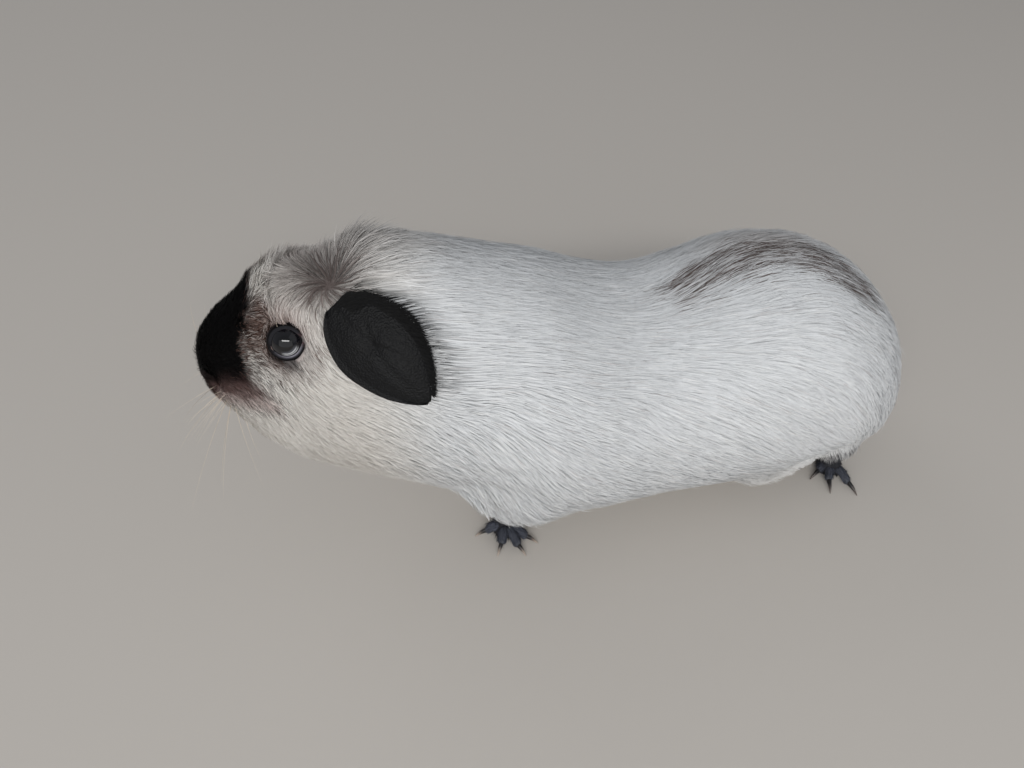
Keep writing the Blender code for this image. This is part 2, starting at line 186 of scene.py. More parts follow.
# ---------------------------------------------------------------- the ears' own frame
EAR_ROOT = np.array((-0.0782, -0.0223, 0.1270))
EAR_TIP = np.array((-0.0566, -0.0433, 0.1058))
EAR_LEN, EAR_LOW, EAR_TOP = 0.0386, 0.0131, 0.0104
EAR_MIRROR, FAR_DROP = -0.0059, 0.0050
E_ALONG = norm(EAR_TIP - EAR_ROOT)
E_OUT = np.array((-0.12, -0.85, 0.52))
E_OUT = norm(E_OUT - E_ALONG * (E_OUT @ E_ALONG))
E_ACROSS = np.cross(E_ALONG, E_OUT)


def ear_halves(u):
    t = np.clip(0.03 + 0.955 * u, 1e-4, 0.9999)
    return (EAR_LOW * np.sin(np.pi * t ** 0.78) ** 0.62, EAR_TOP * np.sin(np.pi * t ** 0.85) ** 0.80)


def ear_bulge(u, v):
    return 0.0026 * np.sin(np.pi * np.clip(u, 0, 1)) * (1 - 0.8 * v * v) + 0.0008 * u


def to_left(p, right):
    """Moves points of the right side onto the left ear's place, or back."""
    q = p.copy()
    q[:, 1] = np.where(right, 2 * EAR_MIRROR - p[:, 1], p[:, 1])
    q[:, 2] = np.where(right, p[:, 2] + FAR_DROP, p[:, 2])
    return q


def from_left(q, right):
    p = q.copy()
    p[:, 1] = np.where(right, 2 * EAR_MIRROR - q[:, 1], q[:, 1])
    p[:, 2] = np.where(right, q[:, 2] - FAR_DROP, q[:, 2])
    return p


def ear_local(q):
    """(u along, v across in half widths, height over the ear's middle surface)."""
    d = q - EAR_ROOT
    u = d @ E_ALONG / EAR_LEN + 0.03
    a = d @ E_ACROSS
    low, high = ear_halves(np.clip(u, 0, 1))
    v = np.where(a > 0, a / np.maximum(low, 1e-5), a / np.maximum(high, 1e-5))
    v = np.where((u < 0) | (u > 1), 9.0, v)
    return u, v, d @ E_OUT - ear_bulge(u, np.clip(v, -1, 1))


def ear_rim(p):
    """1 on the narrow band of short dark hair at the ear's root and upper edge."""
    right = p[:, 1] > EAR_MIRROR
    q = to_left(p, right)
    d = q - EAR_ROOT
    u = d @ E_ALONG / EAR_LEN + 0.03
    a = d @ E_ACROSS
    w = d @ E_OUT
    low, high = ear_halves(np.clip(u, 0.03, 1))
    over = -a - high * 1.10                       # metres beyond the upper edge
    band = step(0.0022, 0.0010, over) * step(-0.0065, -0.0045, over) * step(-0.05, 0.0, u) * (1 - step(0.80, 0.97, u))
    return band * (np.abs(w) < 0.0085)


# ---------------------------------------------------------------- markings, one function for skin and coat
WHITE = srgb(236, 238, 240)
CREAM = srgb(238, 234, 228)
PINK = srgb(196, 164, 156)
GREYBROWN = srgb(122, 109, 105)
BLACK = srgb(6, 5, 6)
SLATE = srgb(42, 43, 48)
_big, _mid, _fine = waves(3, 0.030), waves(4, 0.011), waves(5, 0.0035)


def black_edge(p):
    """Signed distance in metres: below 0 inside the black of the muzzle."""
    x, y, z = p[:, 0], p[:, 1], p[:, 2]
    side = np.abs(y - MID_Y)
    edge = -0.1032 - 0.0034 * step(0.119, 0.1235, z) - 0.0030 * step(0.003, 0.013, side) - 0.0030 * step(0.121, 0.111, z)
    back = x - edge
    low = 0.0946 + 0.36 * (x + 0.119) - 0.0046 * step(0.011, 0.003, side) - z
    return np.maximum(back, low) - 0.0006 * _mid(p) - 0.0005 * _fine(p)


STREAKS = (
    ((0.0060, -0.0035), (0.0233, 0.0016), (0.0362, 0.0067), (0.0517, 0.0111), (0.0686, 0.0140), (0.0814, 0.0105), (0.0961, 0.0039), (0.1080, -0.0040)),
    ((0.0100, -0.0045), (0.0332, 0.0040), (0.0468, 0.0073), (0.0635, 0.0095), (0.0808, 0.0055), (0.0920, -0.0011), (0.1040, -0.0080)),
    ((0.0120, -0.0085), (0.0255, -0.0045), (0.0423, -0.0002), (0.0587, 0.0022), (0.0752, 0.0013), (0.0880, -0.0040), (0.1000, -0.0110)),
)


def streak(p):
    """Strength of the grey streaks that run along the loin and over the hip, from 0 to 1."""
    x, y, z = p[:, 0], p[:, 1], p[:, 2]
    total = np.zeros(len(p))
    for k, line in enumerate(STREAKS):
        a = np.array(line)
        d = y - np.interp(x, a[:, 0], a[:, 1]) - 0.0006 * _mid(p)
        wide = 0.0016 + 0.0009 * np.sin(np.clip((x - 0.02) / 0.085, 0, 1) * np.pi)
        ends = step(a[0, 0], a[0, 0] + 0.018, x) * (1 - step(a[-1, 0] - 0.020, a[-1, 0], x))
        total = total + ends * np.exp(-((d / wide) ** 2)) * (1.0, 0.9, 0.65)[k]
        total = total + 0.22 * ends * np.exp(-((d / (wide * 2.6)) ** 2))
    return np.clip(total, 0, 1) * step(0.070, 0.085, z)


def markings(p, for_skin=False):
    """Colour of the hair, or of the skin, that grows at p."""
    x, y, z = p[:, 0], p[:, 1], p[:, 2]
    side = np.abs(y - MID_Y)
    n = len(p)

    def lay(c, over, k):
        k = np.clip(k, 0, 1)[:, None]
        return c * (1 - k) + over * k

    c = WHITE[None] * np.ones((n, 1))
    # the face and the underside are a warmer white than the back
    c = lay(c, CREAM, (1 - step(-0.085, -0.055, x)) * 0.9 + (1 - step(0.02, 0.05, z)) * 0.45)
    if for_skin:
        c = lay(c, PINK, 0.04 + 0.31 * (1 - step(-0.100, -0.075, x)))
    # thin-haired grey skin round the eye, darkest at the lids and at both corners
    for eye in (EYE_L, EYE_R):
        v = p - eye
        d = np.linalg.norm(v, axis=1)
        over = hump(p, eye + np.array((-0.001, 0.0, 0.0085)), (0.006, 0.007, 0.0022))
        front = hump(p, eye + np.array((-0.0074, -0.0016 if eye[1] < MID_Y else 0.0016, -0.0022)), (0.0022, 0.003, 0.0013))
        c = lay(c, srgb(168, 156, 154), (1 - step(0.0072, 0.0115, d)) * (0.60 if for_skin else 0.34))
        c = lay(c, srgb(70, 65, 67), (1 - step(0.0058, 0.0073, d)) * (0.90 if for_skin else 0.80))
        c = lay(c, srgb(150, 118, 114), over * 0.45)
        c = lay(c, srgb(44, 38, 40), front * 0.75)
    # brown-grey hair at the whorl and over the crown, darkened further in part as painted shade on the top of the head
    dw = np.linalg.norm(p - WHORL, axis=1)
    k = 0.85 * np.exp(-((dw / 0.0030) ** 2)) + 0.10 * np.exp(-((dw / 0.0100) ** 2))
    k = k + 0.85 * hump(p, (-0.0880, -0.0080, 0.1325), (0.0110, 0.0070, 0.009)) * (0.75 + 0.40 * _mid(p))
    k = k + 0.55 * hump(p, (-0.0920, 0.0000, 0.1320), (0.0110, 0.0110, 0.009)) * (0.80 + 0.40 * _fine(p))
    k = k + 0.50 * hump(p, (-0.0775, 0.0010, 0.1350), (0.0050, 0.0120, 0.010)) * (0.75 + 0.40 * _fine(p))
    c = lay(c, GREYBROWN, np.minimum(k, 0.86))
    c = lay(c, srgb(84, 73, 70), 0.9 * np.exp(-((dw / 0.0030) ** 2)))
    # painted shade: a greyer wash over the top of the nape, where it turns from the light
    c = lay(c, srgb(150, 144, 140), hump(p, (-0.064, 0.004, 0.1345), (0.016, 0.014, 0.012)) * 0.38)
    # brown-grey streaks along the loin and over the hip
    c = lay(c, srgb(128, 117, 113), streak(p) * (0.70 if for_skin else 0.30))
    far = hump(p, (0.056, 0.019, 0.097), (0.024, 0.0075, 0.010))      # a faint tan shade beyond the ridge
    c = lay(c, srgb(170, 160, 154), far * 0.45)
    # the grizzle between the black and the eye, brown over pink
    e = black_edge(p)
    griz = (1 - step(0.002, 0.0165, e)) * step(0.104, 0.113, z) * np.clip(0.78 + 0.30 * _fine(p), 0, 1)
    c = lay(c, srgb(126, 104, 96), griz * step(0.0030, 0.0085, side) * 0.95)
    c = lay(c, srgb(186, 158, 150), hump(p, (-0.0945, MID_Y, 0.125), (0.0070, 0.020, 0.006)) * step(0.006, 0.011, side) * 0.7)
    # below the black: red-brown that pales to pink, down to the lip
    under = (1 - step(0.094, 0.104, z)) * step(0.0765, 0.0835, z)
    c = lay(c, srgb(204, 180, 176), (1 - step(0.0030, 0.0090, e)) * under * 0.65)
    c = lay(c, srgb(136, 108, 105), (1 - step(-0.0008, 0.0042, e)) * under * np.clip(0.72 + 0.3 * _fine(p), 0, 1))
    # the black of the muzzle, which browns before it ends over the lip
    low = 0.0946 + 0.36 * (x + 0.119) - 0.0046 * step(0.011, 0.003, side) - z
    c = lay(c, BLACK, 1 - step(-0.0020, 0.0014 + 0.0014 * (1 - step(0.094, 0.104, z)), e))
    brown = step(-0.0075, 0.0, low) * (e < 0.002) * np.clip(0.55 + 0.35 * _fine(p), 0, 1)
    c = lay(c, srgb(90, 69, 67), brown * 0.72)
    c = lay(c, srgb(158, 130, 126), step(-0.0040, 0.0005, low) * (e < 0.002) * 0.50)
    # dark hair round the root and upper edge of the ear
    c = lay(c, srgb(14, 13, 15), ear_rim(p))
    # dark feet, and the hair of the wrist and hock shades into them
    leg = np.zeros(n)
    for foot, (lo_, hi_) in FEET_BOX.items():
        mid_ = (lo_ + hi_) / 2
        top_ = 0.0375 if foot.startswith("hind") else 0.0240
        ring = np.exp(-(((x - mid_[0]) / (0.0205 if foot.startswith("hind") else 0.019)) ** 4 + ((y - mid_[1]) / 0.017) ** 4))
        leg = np.maximum(leg, ring * (1 - step(top_ - 0.009, top_, z + 0.0016 * _fine(p))))
    c = lay(c, srgb(58, 58, 64), leg * 0.92)
    return lay(c, SLATE, near_feet(p))


# ---------------------------------------------------------------- the lie of the coat
def _side_pairs():
    """(place, direction) on the left side; the right side is its mirror image."""
    rows = [
        # muzzle and cheeks: back and down
        ((-0.128, -0.009, 0.088), (0.9, -0.5, 0.10)), ((-0.120, -0.014, 0.098), (1.0, -0.35, 0.15)),
        ((-0.112, -0.016, 0.112), (1.0, -0.15, 0.35)), ((-0.118, -0.012, 0.080), (0.9, -0.3, -0.35)),
        ((-0.106, -0.022, 0.094), (0.85, -0.2, -0.50)), ((-0.098, -0.026, 0.100), (0.80, -0.1, -0.60)),
        ((-0.090, -0.029, 0.106), (0.75, -0.1, -0.65)), ((-0.100, -0.024, 0.116), (0.70, -0.2, 0.20)),
        ((-0.080, -0.034, 0.092), (0.85, -0.1, -0.50)), ((-0.090, -0.030, 0.080), (0.85, 0.0, -0.50)),
        ((-0.100, -0.020, 0.070), (0.85, 0.1, -0.50)), ((-0.082, -0.026, 0.122), (0.60, -0.3, -0.60)),
        # neck, shoulder
        ((-0.060, -0.036, 0.110), (0.97, 0.0, -0.16)), ((-0.060, -0.040, 0.080), (0.88, 0.0, -0.46)),
        ((-0.065, -0.030, 0.055), (0.78, 0.1, -0.60)), ((-0.044, -0.038, 0.107), (1.0, -0.05, -0.12)),
        ((-0.034, -0.048, 0.083), (0.72, 0.0, -0.72)), ((-0.035, -0.046, 0.050), (0.62, 0.0, -0.80)),
        # chest and leg
        ((-0.045, -0.030, 0.030), (0.55, 0.0, -0.80)), ((-0.030, -0.034, 0.018), (0.35, -0.2, -1.0)),
        ((-0.017, -0.051, 0.067), (0.70, 0.0, -0.80)), ((-0.003, -0.050, 0.062), (0.80, 0.0, -0.65)),
        ((-0.010, -0.046, 0.030), (0.78, 0.0, -0.62)), ((-0.022, -0.044, 0.094), (0.92, -0.15, -0.50)),
        # back, flank, belly
        ((-0.020, -0.032, 0.107), (1.0, -0.10, -0.22)), ((0.010, -0.028, 0.094), (1.0, -0.06, -0.12)),
        ((0.028, -0.026, 0.089), (1.0, -0.08, -0.18)), ((0.011, -0.043, 0.077), (0.85, -0.1, -0.62)),
        ((0.020, -0.048, 0.050), (0.90, 0.0, -0.55)), ((0.020, -0.046, 0.028), (0.90, 0.0, -0.42)),
        ((0.046, -0.037, 0.082), (0.93, -0.1, -0.45)), ((0.034, -0.045, 0.058), (0.90, 0.0, -0.50)),
        ((0.050, -0.018, 0.097), (1.0, -0.05, 0.06)), ((0.050, -0.046, 0.036), (0.93, 0.0, -0.36)),
        ((0.050, -0.034, 0.018), (0.95, 0.0, -0.25)),
        # haunch and rump
        ((0.072, -0.015, 0.100), (1.0, -0.05, -0.06)), ((0.073, -0.032, 0.090), (0.90, -0.2, -0.38)),
        ((0.060, -0.044, 0.068), (0.88, 0.0, -0.52)), ((0.082, -0.047, 0.062), (0.78, 0.0, -0.70)),
        ((0.080, -0.047, 0.042), (0.85, 0.0, -0.55)), ((0.080, -0.044, 0.024), (0.90, 0.0, -0.35)),
        ((0.093, -0.024, 0.0906), (0.78, -0.2, -0.60)), ((0.105, -0.026, 0.081), (0.50, -0.1, -0.88)),
        ((0.097, -0.038, 0.073), (0.48, 0.0, -0.95)), ((0.110, -0.036, 0.050), (0.35, 0.0, -0.95)),
        ((0.104, -0.038, 0.030), (0.45, 0.0, -0.85)), ((0.124, -0.018, 0.066), (0.20, 0.0, -0.98)),
        ((0.128, -0.006, 0.045), (0.0, 0.0, -1.0)), ((0.112, -0.030, 0.020), (0.30, 0.0, -0.90)),
    ]
    at, to = [], []
    for a, d in rows:
        for sgn in (1, -1):
            # the trunk's own middle drifts from the head's to the rump's
            at.append((a[0], a[1] if sgn == 1 else -a[1] + 2 * MID_Y * (1 - float(step(-0.06, 0.02, a[0]))), a[2]))
            to.append((d[0], d[1] * sgn, d[2]))
    mid = [
        ((-0.130, MID_Y, 0.094), (0.6, 0.0, 0.8)), ((-0.118, MID_Y, 0.113), (0.8, 0.0, 0.6)),
        ((-0.109, MID_Y, 0.121), (0.7, 0.0, 0.6)), ((-0.055, MID_Y, 0.130), (1.0, 0.0, -0.02)),
        ((-0.030, -0.004, 0.118), (1.0, 0.0, -0.25)), ((0.000, -0.002, 0.103), (1.0, 0.0, -0.3)),
        ((0.020, 0.0, 0.096), (1.0, 0.15, 0.0)), ((0.036, 0.006, 0.097), (1.0, 0.36, 0.10)),
        ((0.052, 0.010, 0.100), (1.0, 0.24, 0.15)), ((0.068, 0.012, 0.102), (1.0, 0.0, 0.05)),
        ((0.082, 0.009, 0.1016), (1.0, -0.32, -0.05)), ((0.095, 0.002, 0.098), (1.0, -0.48, -0.25)),
        ((0.060, 0.001, 0.101), (1.0, 0.05, 0.10)), ((0.088, -0.006, 0.099), (1.0, -0.42, -0.20)),
        ((0.110, 0.002, 0.090), (0.80, -0.25, -0.6)),
        ((0.125, 0.004, 0.070), (0.30, 0.0, -0.95)), ((0.129, 0.004, 0.045), (0.0, 0.0, -1.0)),
        ((-0.118, MID_Y, 0.074), (1.0, 0.0, -0.3)), ((-0.095, MID_Y, 0.060), (0.9, 0.0, -0.5)),
        ((-0.070, MID_Y, 0.042), (0.8, 0.0, -0.6)), ((-0.045, -0.003, 0.025), (0.8, 0.0, -0.6)),
        ((0.0, 0.0, 0.013), (1.0, 0.0, 0.0)), ((0.05, 0.0, 0.013), (1.0, 0.0, 0.0)),
        ((0.09, 0.0, 0.012), (1.0, 0.0, 0.0)), ((0.118, 0.0, 0.016), (1.0, 0.0, -0.2)),
    ]
    for a, d in mid:
        at.append(a)
        to.append(d)
    return np.array(at, float), norm(np.array(to, float))


FLOW_AT, FLOW_TO = _side_pairs()
_turn1, _turn2, _turn3 = waves(11, 0.034), waves(12, 0.009), waves(13, 0.0055)


def flow(p, n):
    """Direction of the hair at p, in the plane of the surface with normal n."""
    out = np.empty_like(p)
    for a in range(0, len(p), 40000):
        q = p[a:a + 40000]
        d2 = ((q[:, None, :] - FLOW_AT[None]) ** 2).sum(-1)
        w = 1 / (d2 + 0.006 ** 2) ** 2
        out[a:a + 40000] = (w @ FLOW_TO) / w.sum(1, keepdims=True)
    # the rosette: hair turns outwards from the whorl, with a slight twist
    v = p - WHORL
    r = np.linalg.norm(v, axis=1)
    away = norm(v)
    rose = norm(away + 0.30 * np.cross(n, away))
    reach = np.where(v[:, 0] < 0, 0.0205, 0.0140)
    w = np.exp(-((r / reach) ** 2.6))[:, None]
    out = norm(out) * (1 - w) + rose * w
    rosette = w[:, 0]
    # round the eyes it parts and goes by
    for eye in (EYE_L, EYE_R):
        v = p - eye
        r = np.linalg.norm(v, axis=1, keepdims=True)
        u = v / np.maximum(r, 1e-9)
        toward = np.minimum((out * u).sum(1, keepdims=True), 0.0)
        out = out - u * toward * 1.25 * np.exp(-((np.maximum(r - 0.0058, 0) / 0.0036) ** 2))
    out = out - n * (out * n).sum(1, keepdims=True)
    out = norm(out)
    ang = 0.07 * _turn1(p) + 0.045 * _turn2(p) + 0.26 * _turn3(p) * rosette
    ca, sa = np.cos(ang)[:, None], np.sin(ang)[:, None]
    return norm(out * ca + np.cross(n, out) * sa)


# ---------------------------------------------------------------- the skin
def joined_flesh():
    bm = bmesh.new()
    for n in FLESH_TRUNK + FLESH_FEET:
        t = bmesh.new()
        t.from_mesh(nodes[n].data)
        bmesh.ops.remove_doubles(t, verts=t.verts, dist=1e-6)
        t.normal_update()
        grow = 0.00055 if n in FLESH_TRUNK else 0.00012
        for v in t.verts:
            v.co += v.normal * grow
        me = bpy.data.meshes.new("t")
        t.to_mesh(me)
        t.free()
        bm.from_mesh(me)
        bpy.data.meshes.remove(me)
    for eye in (EYE_L, EYE_R):      # closes the sockets before the remesh
        bmesh.ops.create_icosphere(bm, subdivisions=3, radius=EYE_RAD * 0.96,
                                   matrix=Matrix.Translation(Vector(eye)))
    me = bpy.data.meshes.new("flesh")
    bm.to_mesh(me)
    bm.free()
    return me


def relax(co, edges, rounds, share, keep=None):
    """Taubin smoothing in place of a modifier, so that it can be weighted."""
    n = len(co)
    deg = np.bincount(edges.ravel(), minlength=n).astype(float)[:, None]
    for i in range(rounds * 2):
        f = 0.55 if i % 2 == 0 else -0.50
        s = np.empty_like(co)
        for k in range(3):
            s[:, k] = (np.bincount(edges[:, 0], co[edges[:, 1], k], n)
                       + np.bincount(edges[:, 1], co[edges[:, 0], k], n))
        co = co + f * share * (s / deg - co)
    return co


def edges_of(me):
    e = np.empty(len(me.edges) * 2, np.int32)
    me.edges.foreach_get("vertices", e)
    return e.reshape(-1, 2)


def set_co(me, co):
    me.vertices.foreach_set("co", co.astype(np.float32).ravel())
    me.update()


raw = joined_flesh()
skin = link(bpy.data.objects.new("skin", raw))
m = skin.modifiers.new("voxel", "REMESH")
m.mode = "VOXEL"
m.voxel_size = 0.00115
skin.data = evaluated(skin)
skin.modifiers.clear()
co, no = mesh_arrays(skin.data)
feet_w = near_feet(co)[:, None]
co = relax(co, edges_of(skin.data), 9, 1 - 0.72 * feet_w)
set_co(skin.data, co)
co, no = mesh_arrays(skin.data)
TOP = (co.copy(), no.copy())                   # the coat's own outer surface
co = co - no * (depth_of(co)[:, None] + 0.00055 * (1 - feet_w) + 0.00012 * feet_w)
# the crown dips behind the brow, in front of the whorl
co[:, 2] -= 0.0046 * hump(TOP[0], (-0.0842, 0.002, 0.1350), (0.0090, 0.015, 0.012))
# the haunch overhangs the hock
for sgn in (-1, 1):
    low_ = np.where(TOP[0][:, 2] < 0.025, 0.0122, 0.0150)
    at_ = ((TOP[0][:, 0] - 0.0925) / 0.0185) ** 2 + ((TOP[0][:, 1] - 0.001 - sgn * 0.042) / 0.0150) ** 2
    w = np.exp(-at_ - ((TOP[0][:, 2] - 0.025) / low_) ** 2)
    co[:, 1] -= sgn * 0.0098 * w
    co[:, 2] += 0.0015 * w
# a small step at the side of the muzzle, over the lip
for sgn in (-1, 1):
    w = hump(TOP[0], (-0.1252, MID_Y + sgn * 0.0080, 0.0950), (0.0045, 0.0050, 0.0036))
    co -= no * (0.0015 * w)[:, None]
# the toes are pieces of their own, so that each stands clear: the skin's foot draws in to its palm
for foot in FLESH_FEET:
    mid = PALM[foot]
    q = TOP[0]
    w = near_feet(q) * (np.abs(q[:, 0] - mid[0]) < 0.022) * (np.abs(q[:, 1] - mid[1]) < 0.022)
    v = co[:, :2] - mid[:2]
    r = np.linalg.norm(v, axis=1)
    want = np.minimum(r, 0.0052 + 0.18 * np.maximum(r - 0.0052, 0))
    co[:, :2] = np.where((w > 0.01)[:, None], mid[:2] + v * (1 + w * (want / np.maximum(r, 1e-9) - 1))[:, None], co[:, :2])
set_co(skin.data, co)

# finer faces on the face and round the eyes
bm = bmesh.new()
bm.from_mesh(skin.data)


def refine(test):
    es = [e for e in bm.edges if test(e.verts[0].co) and test(e.verts[1].co)]
    bmesh.ops.subdivide_edges(bm, edges=es, cuts=1, use_grid_fill=True, smooth=0.0)


refine(lambda c: c.x < -0.099 and c.z < 0.112)
for eye in (EYE_L, EYE_R):
    ev = Vector(eye)
    refine(lambda c: (c - ev).length < 0.0125)
bmesh.ops.triangulate(bm, faces=[f for f in bm.faces if len(f.verts) > 4])
bm.to_mesh(skin.data)
bm.free()
co, no = mesh_arrays(skin.data)
face_w = (1 - step(-0.100, -0.090, co[:, 0]))[:, None]
co = relax(co, edges_of(skin.data), 3, 0.35 + 0.6 * face_w * (1 - near_feet(co)[:, None]))

# lids: the skin wraps the eyeball, and inside the opening it drops behind it
EYE_AXES = {}
for name, eye, sgn in (("left", EYE_L, -1), ("right", EYE_R, 1)):
    axis = norm(np.array((-0.06, 0.86 * sgn, 0.49)))
    EYE_AXES[name] = axis
    v = co - eye
    r = np.linalg.norm(v, axis=1)
    th = np.degrees(np.arccos(np.clip((v @ axis) / np.maximum(r, 1e-9), -1, 1)))
    near = r < 0.016
    lid = EYE_RAD + 0.00012 + 0.00022 * step(62, 80, th)
    want = np.where(th < 54, EYE_RAD * 0.84, lid)
    edge = step(50, 57, th)
    want = EYE_RAD * 0.84 * (1 - edge) + lid * edge
    out_w = 1 - step(66, 96, th)                 # beyond this the head's own surface rules
    rr = np.where(th < 57, want, np.maximum(r, want * out_w + (r - 0.0004) * (1 - out_w)))
    co = np.where((near & (th < 100))[:, None], eye + v / np.maximum(r, 1e-9)[:, None] * rr[:, None], co)

# nostrils, the cleft under the nose, and the mouth
NOSE_X = float(co[:, 0].min())
s = co[:, 1] - MID_Y
front = 1 - step(NOSE_X + 0.0025, NOSE_X + 0.0095, co[:, 0])
nose_z = float(co[co[:, 0] < NOSE_X + 0.0012, 2].mean())
dent = np.zeros(len(co))
for sgn in (-1, 1):
    a, b = s * sgn - 0.0031, co[:, 2] - (nose_z + 0.0008)
    u, w = a * 0.87 + b * 0.5, -a * 0.5 + b * 0.87
    dent += 0.0016 * np.exp(-((u / 0.0017) ** 2) - ((w / 0.0009) ** 2))
dent += 0.0008 * np.exp(-((s / 0.0006) ** 2)) * step(nose_z + 0.001, nose_z - 0.002, co[:, 2]) * step(0.0735, 0.0765, co[:, 2])
mouth_z = 0.0755 - 0.30 * np.clip(co[:, 0] - NOSE_X - 0.004, 0, 0.02)
dent += 0.0011 * np.exp(-(((co[:, 2] - mouth_z) / 0.0007) ** 2)) * (1 - step(0.006, 0.0105, np.abs(s))) * 1.0
co = co - no * (dent * front)[:, None]
set_co(skin.data, co)
smooth_shading(skin.data)
SKIN_CO, SKIN_NO = mesh_arrays(skin.data)
DENT = dent * front
WHORL = SKIN_CO[((SKIN_CO - WHORL) ** 2).sum(1).argmin()]
colour_attribute(skin.data, markings(SKIN_CO, True))
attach(skin, "root")
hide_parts(*(FLESH_TRUNK + FLESH_FEET))

bvh_mesh = skin.data
bvh_mesh.calc_loop_triangles()
tri = np.empty(len(bvh_mesh.loop_triangles) * 3, np.int32)
bvh_mesh.loop_triangles.foreach_get("vertices", tri)
TRI = tri.reshape(-1, 3)
BVH = BVHTree.FromPolygons([tuple(c) for c in SKIN_CO], [tuple(t) for t in TRI.tolist()])
TRI_NO = norm(SKIN_NO[TRI].sum(1))


def nearest(p):
    """(place on the skin, smooth normal) for each point."""
    loc = np.empty_like(p)
    idx = np.empty(len(p), np.int64)
    find = BVH.find_nearest
    for i, q in enumerate(p.tolist()):
        a, _, k, _ = find(q)
        loc[i] = a
        idx[i] = k
    t = TRI[idx]
    # barycentric blend of the vertex normals
    a, b, c = SKIN_CO[t[:, 0]], SKIN_CO[t[:, 1]], SKIN_CO[t[:, 2]]
    v0, v1, v2 = b - a, c - a, loc - a
    d00, d01, d11 = (v0 * v0).sum(1), (v0 * v1).sum(1), (v1 * v1).sum(1)
    d20, d21 = (v2 * v0).sum(1), (v2 * v1).sum(1)
    den = np.maximum(d00 * d11 - d01 * d01, 1e-20)
    v = np.clip((d11 * d20 - d01 * d21) / den, 0, 1)[:, None]
    w = np.clip((d00 * d21 - d01 * d20) / den, 0, 1)[:, None]
    n = SKIN_NO[t[:, 0]] * np.clip(1 - v - w, 0, 1) + SKIN_NO[t[:, 1]] * v + SKIN_NO[t[:, 2]] * w
    return loc, norm(n)


# ---------------------------------------------------------------- the coat
A, B, C = SKIN_CO[TRI[:, 0]], SKIN_CO[TRI[:, 1]], SKIN_CO[TRI[:, 2]]
AREA = np.linalg.norm(np.cross(B - A, C - A), axis=1) / 2
CENTRE = (A + B + C) / 3


def eye_angle(p):
    """(distance from the nearer eye's centre, angle from its axis)."""
    best = np.full(len(p), 1.0)
    ang = np.full(len(p), 180.0)
    for name, eye in (("left", EYE_L), ("right", EYE_R)):
        v = p - eye
        r = np.linalg.norm(v, axis=1)
        th = np.degrees(np.arccos(np.clip((v @ EYE_AXES[name]) / np.maximum(r, 1e-9), -1, 1)))
        near = r < best
        best, ang = np.where(near, r, best), np.where(near, th, ang)
    return best, ang


def bare_places(p):
    """1 where hair may grow, 0 in the eye, in the nostrils and on the soles."""
    r, th = eye_angle(p)
    k = np.where((r < EYE_RAD + 0.0014) & (th < 65), 0.0, 1.0)
    k = np.where((r < EYE_RAD + 0.0014) & (th >= 65) & (th < 74), 0.7 * k, k)
    k = np.where((r < 0.0100) & (th < 48), 0.0, k)
    k = k * (1 - 0.9 * step(NOSE_X + 0.0022, NOSE_X + 0.0008, p[:, 0]))
    return np.where(p[:, 2] < 0.0012, 0.0, k)


def face_part(p):
    """1 where the hair is short: the face in front of the ears, the muzzle, the feet."""
    return np.maximum(1 - step(-0.101, -0.094, p[:, 0]), near_feet(p))


def length_of(p):
    x, z = p[:, 0], p[:, 2]
    L = np.full(len(p), 0.0200)
    L = L + 0.003 * step(0.03, 0.09, x)
    neck = 1 - step(-0.066, -0.020, x)
    L = L * (1 - neck) + 0.0135 * neck
    face = 1 - step(-0.094, -0.062, x)
    L = L * (1 - face) + 0.0060 * face
    nose = 1 - step(-0.118, -0.096, x)
    L = L * (1 - nose) + 0.0027 * nose
    # longer on the crown and nape, behind the whorl
    L = L + 0.0045 * hump(p, (-0.070, -0.006, 0.134), (0.013, 0.016, 0.012))
    L = L + 0.0022 * hump(p, (-0.094, -0.007, 0.131), (0.008, 0.012, 0.008))
    leg = 1 - step(0.012, 0.034, z)
    L = L * (1 - leg) + np.minimum(L, 0.0088) * leg
    for sgn in (-1, 1):                      # the flank's hair ends in front of the hock
        L = L * (1 - 0.52 * hump(p, (0.0720, 0.001 + sgn * 0.036, 0.0250), (0.0110, 0.012, 0.0085)))
    rim = ear_rim(p)
    L = L * (1 - rim) + 0.0034 * rim
    # over the hock and wrist it stops short of the foot
    for lo, hi in FEET_BOX.values():
        c = (lo + hi) / 2
        w = np.exp(-(((p[:, 0] - c[0]) / 0.016) ** 2 + ((p[:, 1] - c[1]) / 0.016) ** 2)) * (1 - step(0.022, 0.040, z))
        L = L * (1 - 0.66 * w)
    bare = near_feet(p)
    return L * (1 - bare) + 0.0017 * bare


def lift_of(p):
    """How far the tips stand out over the coat's surface."""
    k = 0.0064 * hump(p, (-0.0768, 0.001, 0.132), (0.0062, 0.014, 0.012))     # nape
    k = k + 0.0046 * hump(p, (-0.1000, -0.002, 0.126), (0.0055, 0.013, 0.010))  # forelock
    k = k + 0.0020 * hump(p, (-0.0900, 0.001, 0.129), (0.007, 0.012, 0.010))
    x, z = p[:, 0], p[:, 2]
    throat = step(-0.122, -0.108, x) * (1 - step(-0.030, -0.010, x))
    k = k + 0.0012 * throat * (1 - step(0.0, 0.016, z - np.interp(x, (-0.12, -0.10, -0.07, -0.03), (0.074, 0.060, 0.042, 0.020))))
    return k


